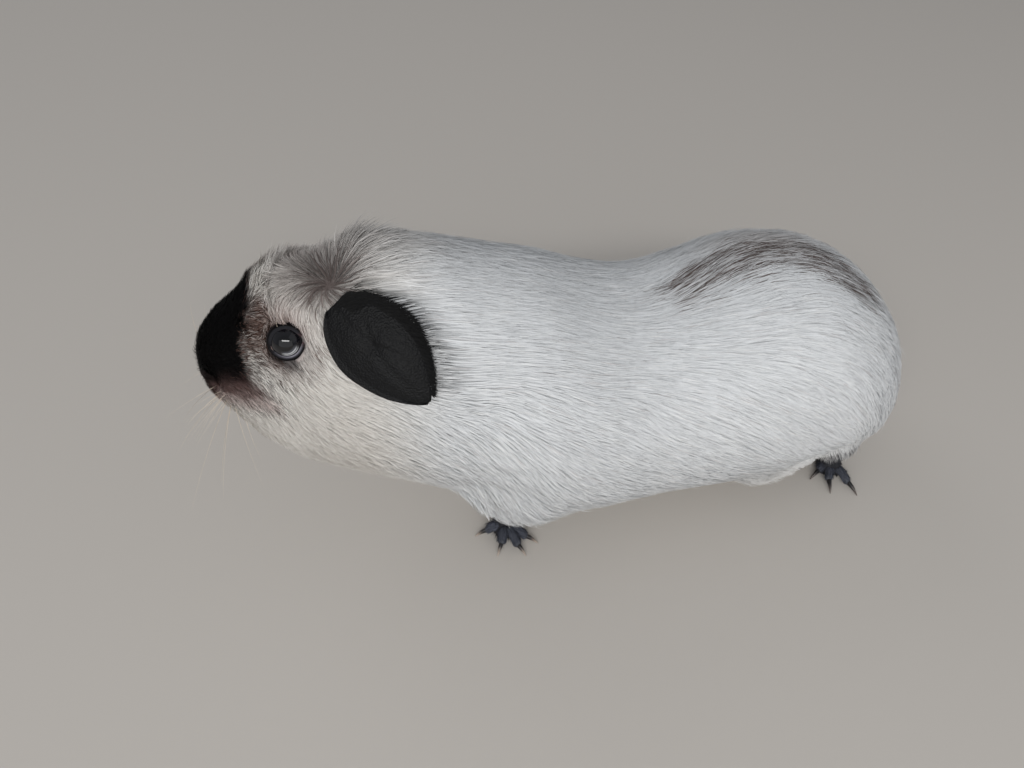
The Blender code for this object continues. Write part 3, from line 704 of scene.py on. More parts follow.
def cells(p, size, seed):
    """Centre of the jittered lattice cell that each point falls in, so that hairs gather in locks."""
    base = np.floor(p / size).astype(np.int64)
    best = np.full(len(p), 1e9)
    out = np.zeros_like(p)
    for dx in (-1, 0, 1):
        for dy in (-1, 0, 1):
            for dz in (-1, 0, 1):
                c = base + np.array((dx, dy, dz))
                h = (c[:, 0] * 73856093) ^ (c[:, 1] * 19349663) ^ (c[:, 2] * 83492791) ^ (seed * 2654435)
                jit = np.stack([((h >> s) & 1023) / 1023.0 for s in (0, 7, 13)], 1)
                q = (c + jit) * size
                d = ((p - q) ** 2).sum(1)
                nearer = d < best
                best[nearer] = d[nearer]
                out[nearer] = q[nearer]
    return out


def roots_on(seed, per_mm2):
    """Evenly spread roots on the skin, by a density for each triangle."""
    rng = np.random.default_rng(seed)
    expect = AREA * 1e6 * per_mm2
    total = int(expect.sum())
    cum = np.cumsum(expect)
    u = (np.arange(total) + rng.random(total)) / total * cum[-1]
    f = np.searchsorted(cum, u).clip(0, len(cum) - 1)
    r1, r2 = np.sqrt(rng.random(total)), rng.random(total)
    bar = np.stack([1 - r1, r1 * (1 - r2), r1 * r2], 1)
    root = A[f] * bar[:, :1] + B[f] * bar[:, 1:2] + C[f] * bar[:, 2:]
    nrm = norm(SKIN_NO[TRI[f, 0]] * bar[:, :1] + SKIN_NO[TRI[f, 1]] * bar[:, 1:2] + SKIN_NO[TRI[f, 2]] * bar[:, 2:])
    return root, nrm, rng


def grow(seed, per_mm2, K=4, L=None, W=None, lift=None, top=(0.62, 1.02), clump=(0.22, 0.14), spread=0.055):
    """Grows locks on the skin: paths over the surface, one for each root."""
    root, nrm, rng = roots_on(seed, per_mm2)
    total = len(root)
    L = (length_of(root) if L is None else L(root)) * rng.uniform(0.78, 1.15, total)
    depth = np.maximum(depth_of(root), 0.00030)
    tall = depth * rng.uniform(top[0], top[1], total)
    up = (lift_of(root) if lift is None else lift(root)) * rng.uniform(0.25, 1.0, total) ** 1.3
    W = (np.clip(L * 0.026, 0.00020, 0.00037) if W is None else W(root, L)) * rng.uniform(0.75, 1.3, total)
    small = cells(root, 0.0024, seed) - root
    large = cells(root, 0.0070, seed + 5) - root
    small -= nrm * (small * nrm).sum(1, keepdims=True)
    large -= nrm * (large * nrm).sum(1, keepdims=True)
    small *= np.minimum(1, L / 0.012)[:, None]
    large *= np.minimum(1, L / 0.012)[:, None]
    side = rng.normal(size=total) * spread
    path, normals = [root - nrm * 0.00015], [nrm]
    p, n = root, nrm
    tt = np.linspace(0, 1, K + 1)
    for k in range(1, K + 1):
        d = flow(p, n)
        d = norm(d + np.cross(n, d) * side[:, None])
        pull = tt[k] ** 1.5 - tt[k - 1] ** 1.5
        p = p + d * (L / K)[:, None] + small * (clump[0] * pull) + large * (clump[1] * pull)
        loc, n = nearest(p)
        h = tall * np.minimum(1.0, 0.15 + 1.05 * tt[k] ** 0.75) + up * tt[k] ** 1.7
        p = loc + n * h[:, None]
        path.append(p)
        normals.append(n)
    g = dict(P=np.stack(path, 1), N=np.stack(normals, 1), W=W, L=L, root=root, K=K, t=tt, rng=rng)
    return tidy(g)


def tidy(g):
    """Keeps the coat out of the eyes, and over or under the ears as it lies."""
    P, N, root = g["P"], g["N"], g["root"]
    n, m = P.shape[:2]
    flat = P.reshape(-1, 3)
    r, th = eye_angle(flat)
    bad = (((r < EYE_RAD + 0.0022) & (th < 60)) | ((r < 0.0120) & (th < 46))).reshape(n, m)[:, 1:].any(1)
    right = root[:, 1] > EAR_MIRROR
    rr = np.repeat(right, m)
    q = to_left(flat, rr)
    u, v, w = ear_local(q)
    inside = (v > -1.30) & (v < 1.04) & (u > -0.02) & (u < 1.01)
    u0, v0, _ = ear_local(to_left(root, right))
    above = np.repeat((v0 < -0.93) | (v0 > 8.0) & (root[:, 0] > -0.079), m)      # comes from behind the ear's back edge
    deep = inside & (v > np.repeat(-1.26 + 0.30 * g["rng"].random(n) ** 2, m)) & above
    drop = deep.reshape(n, m).any(1)
    under = inside & ~above & (w > -0.0011)
    q = np.where(under[:, None], q + E_OUT * (-0.0011 - w)[:, None], q)
    over = inside & above & (w < 0.0008)
    q = np.where(over[:, None], q + E_OUT * (0.0008 - w)[:, None], q)
    P = from_left(q, rr).reshape(n, m, 3)
    keep = ~(bad | drop)
    g["P"] = P[keep]
    for k in ("N", "W", "L", "root"):
        g[k] = g[k][keep]
    return g


def mid_line(x):
    """Middle of the trunk at x: (y, z)."""
    y = np.interp(x, (-0.13, -0.06, 0.0, 0.06, 0.13), (MID_Y, MID_Y - 0.001, 0.0, 0.002, 0.003))
    z = np.interp(x, (-0.13, -0.11, -0.09, -0.06, -0.03, 0.0, 0.06, 0.10, 0.13),
                  (0.088, 0.090, 0.092, 0.085, 0.072, 0.058, 0.055, 0.052, 0.045))
    return y, z


def region_uv(root):
    """A cylinder unwrap of the skin round the animal's own length, not a view."""
    lo, hi = root[:, 0].min(), root[:, 0].max()
    y, z = mid_line(root[:, 0])
    ang = np.arctan2(root[:, 1] - y, root[:, 2] - z) / (2 * np.pi) + 0.5
    u = (root[:, 0] - lo) / max(hi - lo, 1e-6)
    return np.stack([0.01 + 0.98 * u, 0.01 + 0.98 * ang], 1)


def locks_to_mesh(name, g, pick, colour, uv, roll=0.16, shade=(0.84, 0.96, 1.02), slot="coat_white", sleek=0.72):
    """Tapered blades, two faces a step and a pointed tip."""
    P, N, W, K, t = g["P"][pick], g["N"][pick], g["W"][pick], g["K"], g["t"]
    n = len(P)
    rng = np.random.default_rng(1000 + n)
    tang = np.empty_like(P)
    tang[:, 1:-1] = P[:, 2:] - P[:, :-2]
    tang[:, 0] = P[:, 1] - P[:, 0]
    tang[:, -1] = P[:, -1] - P[:, -2]
    tang = norm(tang)
    side = norm(np.cross(N, tang))
    ang = rng.normal(size=(n, 1, 1)) * roll + (rng.normal(size=(n, 1, 1)) * roll * 0.6) * t[None, :, None]
    up = norm(np.cross(tang, side))
    side = side * np.cos(ang) + up * np.sin(ang)
    prof = np.array([0.60, 1.0, 0.90, 0.58, 0.0]) if K == 4 else np.array([0.70, 1.0, 0.70, 0.0])
    half = side * (W[:, None, None] * 0.5 * prof[None, :, None])
    left, right = P - half, P + half
    vs = np.empty((n, 2 * K + 1, 3))
    vs[:, 0:2 * K:2] = left[:, :K]
    vs[:, 1:2 * K:2] = right[:, :K]
    vs[:, 2 * K] = P[:, K]
    vs[..., 2] = np.maximum(vs[..., 2], 0.0002)
    base = (np.arange(n) * (2 * K + 1))[:, None]
    quads = np.concatenate([base + np.array((2 * k, 2 * k + 2, 2 * k + 3, 2 * k + 1)) for k in range(K - 1)], 1)
    tips = base + np.array((2 * K - 2, 2 * K, 2 * K - 1))
    loops = np.concatenate([quads, tips], 1).ravel()
    sizes = np.tile(np.array([4] * (K - 1) + [3]), n)
    starts = np.concatenate([[0], np.cumsum(sizes)[:-1]])
    me = bpy.data.meshes.new(name)
    me.vertices.add(n * (2 * K + 1))
    me.vertices.foreach_set("co", vs.astype(np.float32).ravel())
    me.loops.add(len(loops))
    me.loops.foreach_set("vertex_index", loops.astype(np.int32))
    me.polygons.add(len(sizes))
    me.polygons.foreach_set("loop_start", starts.astype(np.int32))
    me.update(calc_edges=True)
    # the bake's map: a small patch at the root's place
    s = 0.003
    pu = np.empty((n, 2 * K + 1, 2))
    for k in range(K):
        pu[:, 2 * k, 0], pu[:, 2 * k + 1, 0] = uv[:, 0] - s / 2, uv[:, 0] + s / 2
        pu[:, 2 * k, 1] = pu[:, 2 * k + 1, 1] = uv[:, 1] - s / 2 + s * t[k]
    pu[:, 2 * K, 0], pu[:, 2 * K, 1] = uv[:, 0], uv[:, 1] + s / 2
    layer = me.uv_layers.new(name="OFBake")
    layer.uv.foreach_set("vector", pu.reshape(-1, 2)[loops].astype(np.float32).ravel())
    # painted shade and light: each lock is darker at its root, where it lies under the others, and lighter towards its
    # tip
    painted_light_level = np.interp(t, (0, 0.3, 1.0), shade)
    painted_light_lvl = np.empty(2 * K + 1)
    painted_light_lvl[0:2 * K:2], painted_light_lvl[1:2 * K:2], painted_light_lvl[2 * K] = painted_light_level[:K], painted_light_level[:K], painted_light_level[K]
    cc = np.clip(colour[:, None, :] * painted_light_lvl[None, :, None], 0, 0.92)
    colour_attribute(me, cc.reshape(-1, 3))
    smooth_shading(me)
    # the locks shade mostly as the body's own surface does, so that the coat looks sleek
    own = norm(np.cross(tang, side))
    own = np.where(((own * N).sum(-1) < 0)[..., None], -own, own)
    mix = norm(N * sleek + own * (1 - sleek))
    vn = np.empty((n, 2 * K + 1, 3))
    vn[:, 0:2 * K:2] = vn[:, 1:2 * K:2] = mix[:, :K]
    vn[:, 2 * K] = mix[:, K]
    me.normals_split_custom_set_from_vertices(vn.reshape(-1, 3).astype(np.float32))
    o = link(bpy.data.objects.new(name, me))
    o.data.materials.append(M_COAT)
    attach(o, "root")
    return o


def hair_colour(g, odd=0.03):
    rng, root = g["rng"], g["root"]
    n = len(root)
    c = markings(root)
    crown = hump(root, (-0.0830, -0.006, 0.130), (0.018, 0.016, 0.012))
    tone = 1 + (0.050 + 0.13 * crown) * rng.normal(size=n) + 0.02 * _fine(root)
    c = c * np.clip(tone, 0.78 - 0.25 * crown, 1.10 + 0.25 * crown)[:, None]
    # a few hairs of a greyer or browner shade among the white
    pick = (rng.random(n) < odd) & (c[:, 1] > 0.3)
    c = np.where(pick[:, None], c * np.array((0.84, 0.81, 0.80)), c)
    # brown ones in the grizzle between the black and the eye
    b = black_edge(root)
    side = np.abs(root[:, 1] - MID_Y)
    pick = rng.random(n) < 0.34 * (1 - step(0.002, 0.0165, b)) * step(0.104, 0.113, root[:, 2]) * step(0.0030, 0.0085, side)
    pick = pick & (b > 0.0002)
    c = np.where(pick[:, None], srgb(84, 62, 54) * rng.uniform(0.6, 1.5, n)[:, None], c)
    # fine dark hairs round the eyes
    r_, _ = eye_angle(root)
    pick = rng.random(n) < 0.20 * np.exp(-(((r_ - 0.0085) / 0.0040) ** 2))
    c = np.where(pick[:, None], c * np.array((0.36, 0.31, 0.30)), c)
    # the streaks are single dark hairs among white ones
    st = streak(root)
    line = np.clip(0.35 + 0.85 * np.sin(root[:, 1] * 2 * np.pi / 0.0024 + 2.0 * _mid(root)), 0, 1)
    pick = rng.random(n) < st * (0.14 + 0.70 * line)
    c = np.where(pick[:, None], srgb(98, 87, 84) * rng.uniform(0.75, 1.7, n)[:, None], c)
    # dark hairs thin out from the black of the muzzle into the white, and pale ones into the dark
    e = black_edge(root)
    out_ = step(0.0035, 0.0095, np.abs(root[:, 1] - MID_Y))
    reach = 0.0012 + 0.0120 * out_
    pick = (e > -0.0005) & (rng.random(n) < 0.62 * (1 - step(0.0, reach, e)))
    k_ = rng.uniform(0.35, 0.95, n)[:, None]
    c = np.where(pick[:, None], c * (1 - k_) + srgb(52, 38, 34) * k_, c)
    # and a few reddish ones at the back edge of the rump
    rump = hump(root, (0.120, 0.000, 0.074), (0.008, 0.016, 0.012)) * 0.10
    c = np.where((rng.random(n) < rump)[:, None], srgb(150, 100, 76), c)
    pick = (e < 0.0) & (rng.random(n) < 0.35 * step(-0.0045, 0.0, e))
    return np.where(pick[:, None], srgb(92, 72, 66), c)


def lay_coat(name, g, limit=196000, **kw):
    """Splits the locks along the body into pieces of under 200,000 triangles."""
    col = hair_colour(g)
    x = g["root"][:, 0]
    n = len(x)
    order = np.argsort(x, kind="stable")
    tris = 2 * g["K"] - 1
    parts = max(1, math.ceil(n * tris / limit))
    cuts = [int(n * i / parts) for i in range(parts + 1)]
    for i in range(parts):
        pick = order[cuts[i]:cuts[i + 1]]
        nm = f"{name}_{i + 1:02d}" if parts > 1 else name
        locks_to_mesh(nm, g, pick, col[pick], region_uv(g["root"][pick]), **kw)
    TALLY[name] = n * tris
    return n


# ---------------------------------------------------------------- materials
def principled(name, rough=0.5, spec=0.3):
    mat = bpy.data.materials.new(name)
    mat.use_nodes = True
    nt = mat.node_tree
    b = nt.nodes["Principled BSDF"]
    b.inputs["Roughness"].default_value = rough
    b.inputs["Specular IOR Level"].default_value = spec
    return mat, nt, b


def node(nt, kind, **at):
    n = nt.nodes.new(kind)
    for k, v in at.items():
        setattr(n, k, v)
    return n


def tinted(nt, colour_out, lo, hi, scale, detail=3.0, vector=None, stretch=None):
    """A colour times a noise between lo and hi. Returns the sockets of the colour and of the noise."""
    if vector is None:
        vector = node(nt, "ShaderNodeTexCoord").outputs["Object"]
    if stretch is not None:
        mp = node(nt, "ShaderNodeMapping")
        mp.inputs["Scale"].default_value = stretch
        nt.links.new(vector, mp.inputs["Vector"])
        vector = mp.outputs["Vector"]
    nz = node(nt, "ShaderNodeTexNoise")
    nz.inputs["Scale"].default_value = scale
    nz.inputs["Detail"].default_value = detail
    nt.links.new(vector, nz.inputs["Vector"])
    mr = node(nt, "ShaderNodeMapRange")
    mr.inputs["From Min"].default_value = 0.25
    mr.inputs["From Max"].default_value = 0.75
    mr.inputs["To Min"].default_value = lo
    mr.inputs["To Max"].default_value = hi
    nt.links.new(nz.outputs["Fac"], mr.inputs["Value"])
    mx = node(nt, "ShaderNodeMix", data_type="RGBA", blend_type="MULTIPLY")
    mx.inputs["Factor"].default_value = 1
    nt.links.new(colour_out, mx.inputs["A"])
    nt.links.new(mr.outputs["Result"], mx.inputs["B"])
    return mx.outputs["Result"], nz.outputs["Fac"]


def bump(nt, b, height, strength, distance):
    bp = node(nt, "ShaderNodeBump")
    bp.inputs["Strength"].default_value = strength
    bp.inputs["Distance"].default_value = distance
    nt.links.new(height, bp.inputs["Height"])
    nt.links.new(bp.outputs["Normal"], b.inputs["Normal"])


def coat_material():
    mat, nt, b = principled("coat_hair", 0.66, 0.10)
    at = node(nt, "ShaderNodeAttribute", attribute_name="coat")
    col, _ = tinted(nt, at.outputs["Color"], 0.96, 1.03, 900)
    nt.links.new(col, b.inputs["Base Color"])
    b.inputs["Sheen Weight"].default_value = 0.005
    b.inputs["Sheen Roughness"].default_value = 0.4
    return mat


def skin_material():
    mat, nt, b = principled("skin_under_coat", 0.6, 0.3)
    at = node(nt, "ShaderNodeAttribute", attribute_name="coat")
    col, nz = tinted(nt, at.outputs["Color"], 0.84, 1.06, 1400, 4)
    nt.links.new(col, b.inputs["Base Color"])
    vo = node(nt, "ShaderNodeTexVoronoi")
    vo.inputs["Scale"].default_value = 1100
    nt.links.new(node(nt, "ShaderNodeTexCoord").outputs["Object"], vo.inputs["Vector"])
    ad = node(nt, "ShaderNodeMath", operation="ADD")
    nt.links.new(nz, ad.inputs[0])
    nt.links.new(vo.outputs["Distance"], ad.inputs[1])
    bump(nt, b, ad.outputs[0], 0.6, 0.0002)
    return mat


M_COAT, M_SKIN = coat_material(), skin_material()
skin.data.materials.append(M_SKIN)
TALLY = {"skin": len(TRI)}

# ---------------------------------------------------------------- growing it
SHARE = 1.0
open_skin = bare_places(CENTRE)
short = face_part(CENTRE)
x_, z_ = CENTRE[:, 0], CENTRE[:, 2]

# the long sleek coat of the trunk, neck and cheeks
dens = 2.48 + 0.9 * step(0.085, 0.115, x_) + 1.7 * (1 - step(-0.096, -0.066, x_)) - 0.9 * (1 - step(0.016, 0.030, z_))
for sgn in (-1, 1):
    dens = dens + 2.2 * hump(CENTRE, (0.082, 0.001 + sgn * 0.035, 0.026), (0.022, 0.012, 0.013))
g = grow(101, SHARE * dens * open_skin * (1 - short), K=4)
lay_coat("coat", g)

# short close hair of the face, muzzle and feet
dens = 6.5 + 2.5 * (1 - step(-0.118, -0.108, x_))
dens = dens * (1 - near_feet(CENTRE)) + 1.6 * near_feet(CENTRE)
r_eye, _ = eye_angle(CENTRE)
dens = dens * (1 + 0.9 * (1 - step(0.0105, 0.0150, r_eye)))
g = grow(202, SHARE * dens * open_skin * short, K=3, clump=(0.25, 0.10), spread=0.16,
         W=lambda p, L: np.clip(L * 0.050, 0.00014, 0.00024),
         lift=lambda p: lift_of(p) + 0.00070)
lay_coat("coat_face", g, roll=0.25, shade=(0.75, 0.95, 1.05))


# a close ring of fine hair behind the lids
ring = step(0.0050, 0.0058, r_eye) * (1 - step(0.0100, 0.0130, r_eye)) * 12.0
g = grow(707, SHARE * ring * open_skin, K=3, clump=(0.2, 0.05), spread=0.20, top=(0.25, 0.8),
         L=lambda p: np.full(len(p), 0.0025), W=lambda p, L: np.full(len(p), 0.00013), lift=lambda p: np.full(len(p), 0.00035))
lay_coat("coat_eye", g, roll=0.25, shade=(0.80, 0.97, 1.05))


# single hairs that stand out of the coat on every side
def stray_len(p):
    return length_of(p) * 0.85


g = grow(303, SHARE * 0.055 * open_skin * (1 - short), K=4, L=stray_len,
         W=lambda p, L: np.full(len(p), 0.00016), lift=lambda p: lift_of(p) + 0.0016, top=(0.8, 1.1), clump=(0, 0), spread=0.22)
lay_coat("coat_stray", g)

# raised locks: forelock, crest behind the whorl, ruff under the jaw, flank tuft before the hind foot
crest = (hump(CENTRE, (-0.0700, -0.001, 0.136), (0.012, 0.014, 0.012)) * 3.2
         + hump(CENTRE, (-0.0950, -0.005, 0.131), (0.0075, 0.012, 0.008)) * 2.6)
g = grow(404, SHARE * crest * open_skin, K=4, clump=(0.75, 0.35), spread=0.12,
         lift=lambda p: lift_of(p) * 1.25 + 0.0006, W=lambda p, L: np.full(len(p), 0.00034))
lay_coat("coat_crest", g)

tuft = hump(CENTRE, (0.0690, -0.0385, 0.0270), (0.010, 0.009, 0.007)) * 4.0
tuft = tuft + hump(CENTRE, (-0.006, -0.043, 0.024), (0.010, 0.008, 0.006)) * 1.6
tuft = tuft + hump(CENTRE, (0.0690, 0.0385, 0.0270), (0.010, 0.009, 0.007)) * 3.0
tuft = tuft + hump(CENTRE, (-0.0230, -0.0470, 0.0370), (0.008, 0.008, 0.006)) * 2.6
for sgn in (-1, 1):
    tuft = tuft + hump(CENTRE, (-0.103, MID_Y + sgn * 0.020, 0.0765), (0.006, 0.006, 0.005)) * 2.6
    tuft = tuft + hump(CENTRE, (-0.084, MID_Y + sgn * 0.026, 0.0640), (0.009, 0.006, 0.006)) * 1.4
g = grow(505, SHARE * tuft * open_skin, K=4, clump=(0.8, 0.5), spread=0.10, L=lambda p: np.where(p[:, 0] < -0.07, 0.0085, np.where(p[:, 0] > 0.04, 0.0108, 0.0125)),
         lift=lambda p: np.full(len(p), 0.0014))
lay_coat("coat_tuft", g)


# ---------------------------------------------------------------- ears
def grid_mesh(name, pts, closed_u=False):
    """Faces over a grid of points, nu by nv."""
    nu, nv = pts.shape[:2]
    i, j = np.meshgrid(np.arange(nu if closed_u else nu - 1), np.arange(nv - 1), indexing="ij")
    i2 = (i + 1) % nu
    f = np.stack([i * nv + j, i * nv + j + 1, i2 * nv + j + 1, i2 * nv + j], -1).reshape(-1, 4)
    me = bpy.data.meshes.new(name)
    me.from_pydata(pts.reshape(-1, 3).tolist(), [], f.tolist())
    me.update()
    smooth_shading(me)
    return me


def ear_surface(u, v):
    """Points of the ear's middle surface, with its folds."""
    low, high = ear_halves(u)
    a = np.where(v > 0, low - 0.0012, high * 1.16) * v
    out = ear_bulge(u, v)
    # folds run from the hollow near the root out to the edge
    ang = np.arctan2(v * 0.8, u - 0.42)
    rad = np.hypot(v * 0.8, u - 0.42)
    out = out + 0.00013 * np.cos(5 * ang + 1.1 + 2.0 * rad) * np.exp(-((rad - 0.26) / 0.20) ** 2)
    out = out - 0.0007 * np.exp(-((rad / 0.13) ** 2))
    for turn, reach, deep in ((0.35, 0.34, 0.20), (1.55, 0.24, 0.16), (2.7, 0.22, 0.18), (-0.75, 0.30, 0.20), (-1.9, 0.26, 0.14), (3.6, 0.30, 0.12)):
        along_ = (u - 0.42) * np.cos(turn) + v * 0.4 * np.sin(turn)
        perp = -(u - 0.42) * np.sin(turn) + v * 0.4 * np.cos(turn) + 0.012 * np.sin(24 * along_)
        out = out - 0.001 * deep * np.exp(-((perp / 0.016) ** 2)) * step(-0.02, 0.05, along_) * (1 - step(reach * 0.5, reach, along_))
    # the lower rim curls out a little, and the edge is wavy
    out = out + 0.0006 * step(0.80, 1.0, v)
    a = a * (1 + 0.008 * np.sin(17 * u + 1.0) * step(0.7, 1.0, np.abs(v)))
    return EAR_ROOT + E_ALONG * (EAR_LEN * (u - 0.03))[..., None] + E_ACROSS * a[..., None] + E_OUT * out[..., None]


def ear_piece(name, right):
    nu, nv = 88, 58
    u, v = np.meshgrid(np.linspace(0, 1, nu), np.sin(np.linspace(-np.pi / 2, np.pi / 2, nv)), indexing="ij")
    P = ear_surface(u, v)
    e = 1e-3
    du = ear_surface(u + e, v) - ear_surface(u - e, v)
    dv = ear_surface(u, np.clip(v + e, -1, 1)) - ear_surface(u, np.clip(v - e, -1, 1))
    n = norm(np.cross(du, dv))
    n = np.where((n @ E_OUT)[..., None] < 0, -n, n)
    edge = np.minimum(1, np.minimum(u / 0.05, (1 - u) / 0.05)) * np.sqrt(np.clip(1 - np.abs(v) ** 6, 0, 1))
    thick = (0.00018 + 0.00030 * edge)[..., None]
    F, Bk = P + n * thick, P - n * thick
    pts = np.concatenate([F, Bk[:, ::-1]], 1)             # one closed sleeve across
    nu_, nv_ = pts.shape[:2]
    i, j = np.meshgrid(np.arange(nu_ - 1), np.arange(nv_), indexing="ij")
    j2 = (j + 1) % nv_
    f = np.stack([i * nv_ + j, (i + 1) * nv_ + j, (i + 1) * nv_ + j2, i * nv_ + j2], -1).reshape(-1, 4).tolist()
    f.append(list(range(nv_)))
    f.append([(nu_ - 1) * nv_ + k for k in range(nv_ - 1, -1, -1)])
    q = pts.reshape(-1, 3)
    if right:
        q = from_left(q, np.ones(len(q), bool))
        f = [list(reversed(k)) for k in f]
    me = bpy.data.meshes.new(name)
    me.from_pydata(q.tolist(), [], f)
    bm = bmesh.new()
    bm.from_mesh(me)
    bmesh.ops.recalc_face_normals(bm, faces=bm.faces[:])
    bmesh.ops.triangulate(bm, faces=[k for k in bm.faces if len(k.verts) > 4])
    bm.to_mesh(me)
    bm.free()
    smooth_shading(me)
    # darker near the root and top edge; lighter through the middle towards the tip, a painted highlight; greyer at the
    # lower rim and at the edge
    uu = np.concatenate([u, u[:, ::-1]], 1).ravel()
    vv = np.concatenate([v, v[:, ::-1]], 1).ravel()
    k = np.clip(0.25 + 0.55 * step(0.30, 0.75, uu) * step(-0.7, 0.3, vv) + 0.35 * step(0.86, 0.98, vv), 0, 1)[:, None]
    col = srgb(4, 4, 6) * (1 - k) + srgb(12, 13, 15) * k
    rim = (step(0.965, 0.997, np.abs(vv)) * 0.5)[:, None]
    col = col * (1 - rim) + srgb(40, 37, 37) * rim
    colour_attribute(me, col)
    o = link(bpy.data.objects.new(name, me))
    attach(o, "root")
    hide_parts(name.replace("_skin", ""))
    return o


def ear_material():
    mat, nt, b = principled("ear_leather", 0.50, 0.20)
    at = node(nt, "ShaderNodeAttribute", attribute_name="coat")
    col, nz = tinted(nt, at.outputs["Color"], 0.50, 1.65, 1500, 6)
    nt.links.new(col, b.inputs["Base Color"])
    # fine wrinkles: stretched noise and small cells
    tc = node(nt, "ShaderNodeTexCoord")
    mp = node(nt, "ShaderNodeMapping")
    mp.inputs["Rotation"].default_value = (0.4, 0.7, 0.8)
    mp.inputs["Scale"].default_value = (760, 520, 640)
    nt.links.new(tc.outputs["Object"], mp.inputs["Vector"])
    n2 = node(nt, "ShaderNodeTexNoise")
    n2.inputs["Scale"].default_value = 1
    n2.inputs["Detail"].default_value = 4
    nt.links.new(mp.outputs["Vector"], n2.inputs["Vector"])
    vo = node(nt, "ShaderNodeTexVoronoi")
    vo.inputs["Scale"].default_value = 1700
    nt.links.new(tc.outputs["Object"], vo.inputs["Vector"])
    ad = node(nt, "ShaderNodeMath", operation="ADD")
    nt.links.new(n2.outputs["Fac"], ad.inputs[0])
    nt.links.new(vo.outputs["Distance"], ad.inputs[1])
    bump(nt, b, ad.outputs[0], 0.60, 0.00026)
    return mat


M_EAR = ear_material()
for name, right in (("ear_left", False), ("ear_right", True)):
    o = ear_piece(name + "_skin", right)
    o.data.materials.append(M_EAR)
    TALLY[o.name] = sum(len(p.vertices) - 2 for p in o.data.polygons)


def ear_hairs(seed, count, right):
    """Short dark hair along the ear's upper and back edge, and fine grey hair on its face."""
    rng = np.random.default_rng(seed)
    n = int(count * SHARE)
    kind = rng.random(n)
    face, root_end = kind < 0.16, (kind > 0.80)
    u = rng.uniform(0.02, 0.97, n) ** 1.25
    v = -1.05 + 0.34 * rng.random(n) ** 1.4 * (1 - 0.6 * u)
    u = np.where(root_end, rng.uniform(-0.02, 0.12, n), u)
    v = np.where(root_end, rng.uniform(-1.1, -0.1, n), v)
    u = np.where(face, rng.uniform(0.08, 0.95, n), u)
    v = np.where(face, rng.uniform(-0.9, 0.93, n), v)
    P0 = ear_surface(np.clip(u, 0, 1), v) + E_OUT * 0.00025
    L = np.where(face, rng.uniform(0.0010, 0.0020, n), rng.uniform(0.0022, 0.0042, n)) * (0.55 + 0.55 * (1 - u))
    d = -E_ACROSS * (0.90 - 0.5 * u)[:, None] + E_ALONG * (0.25 + 0.75 * u)[:, None]
    d = np.where(root_end[:, None], -E_ACROSS * 0.9 + E_ALONG * 0.15, d)
    d = np.where(face[:, None], E_ALONG * 1.0 + E_ACROSS * 0.15, d)
    d = norm(d + rng.normal(size=(n, 3)) * np.where(face, 0.10, 0.14)[:, None])
    d = d - E_OUT * (d @ E_OUT)[:, None]
    K = 3
    tt = np.linspace(0, 1, K + 1)
    up = np.where(face, 0.00012, rng.uniform(0.0003, 0.0016, n))
    P = np.stack([P0 + norm(d + E_ALONG * 0.35 * t) * (L * t)[:, None] + E_OUT * (up * t * (1.3 - 0.5 * t))[:, None] for t in tt], 1)
    N = np.broadcast_to(E_OUT, P.shape).copy()
    rr = np.full(n * (K + 1), right)
    P = from_left(P.reshape(-1, 3), rr).reshape(n, K + 1, 3)
    if right:
        N = N * np.array((1, -1, 1))
    grey = np.where(face, rng.uniform(0.02, 0.06, n), rng.uniform(0.004, 0.014, n))
    pale = (~face) & (rng.random(n) < 0.0)
    grey = np.where(pale, rng.uniform(0.30, 0.55, n), grey)
    col = grey[:, None] * np.array((1.0, 1.0, 1.04))
    W = np.where(face, 0.00007, rng.uniform(0.00010, 0.00017, n))
    g = dict(P=P, N=N, W=W, L=L, root=P[:, 0], K=K, t=tt, rng=rng)
    uv = np.stack([0.01 + 0.98 * np.clip(u, 0, 1), 0.5 + 0.44 * v], 1)
    name = "ear_hair_right" if right else "ear_hair_left"
    locks_to_mesh(name, g, np.arange(n), col, uv, roll=0.3, shade=(0.9, 1.0, 1.1), slot="coat_black")
    TALLY[name] = n * 5


ear_hairs(606, 6500, False)
ear_hairs(607, 6500, True)


# ---------------------------------------------------------------- eyes and lids
def frame_of(axis):
    a = norm(axis)
    up = np.array((0, 0, 1.0))
    e1 = norm(up - a * (up @ a))
    e2 = np.cross(a, e1)
    return a, e1, e2


def eye_material():
    """Navy black, with a dark brown iris round a wide pupil, under a wet clear surface."""
    mat, nt, b = principled("eye_wet", 0.030, 0.55)
    at = node(nt, "ShaderNodeAttribute", attribute_name="coat")
    col, _ = tinted(nt, at.outputs["Color"], 0.85, 1.2, 2200, 4)
    nt.links.new(col, b.inputs["Base Color"])
    b.inputs["IOR"].default_value = 1.5
    return mat


def lid_material():
    mat, nt, b = principled("eyelid", 0.55, 0.12)
    at = node(nt, "ShaderNodeAttribute", attribute_name="coat")
    col, nz = tinted(nt, at.outputs["Color"], 0.75, 1.2, 2600, 4)
    nt.links.new(col, b.inputs["Base Color"])
    bump(nt, b, nz, 0.5, 0.00012)
    return mat


M_EYE, M_LID = eye_material(), lid_material()


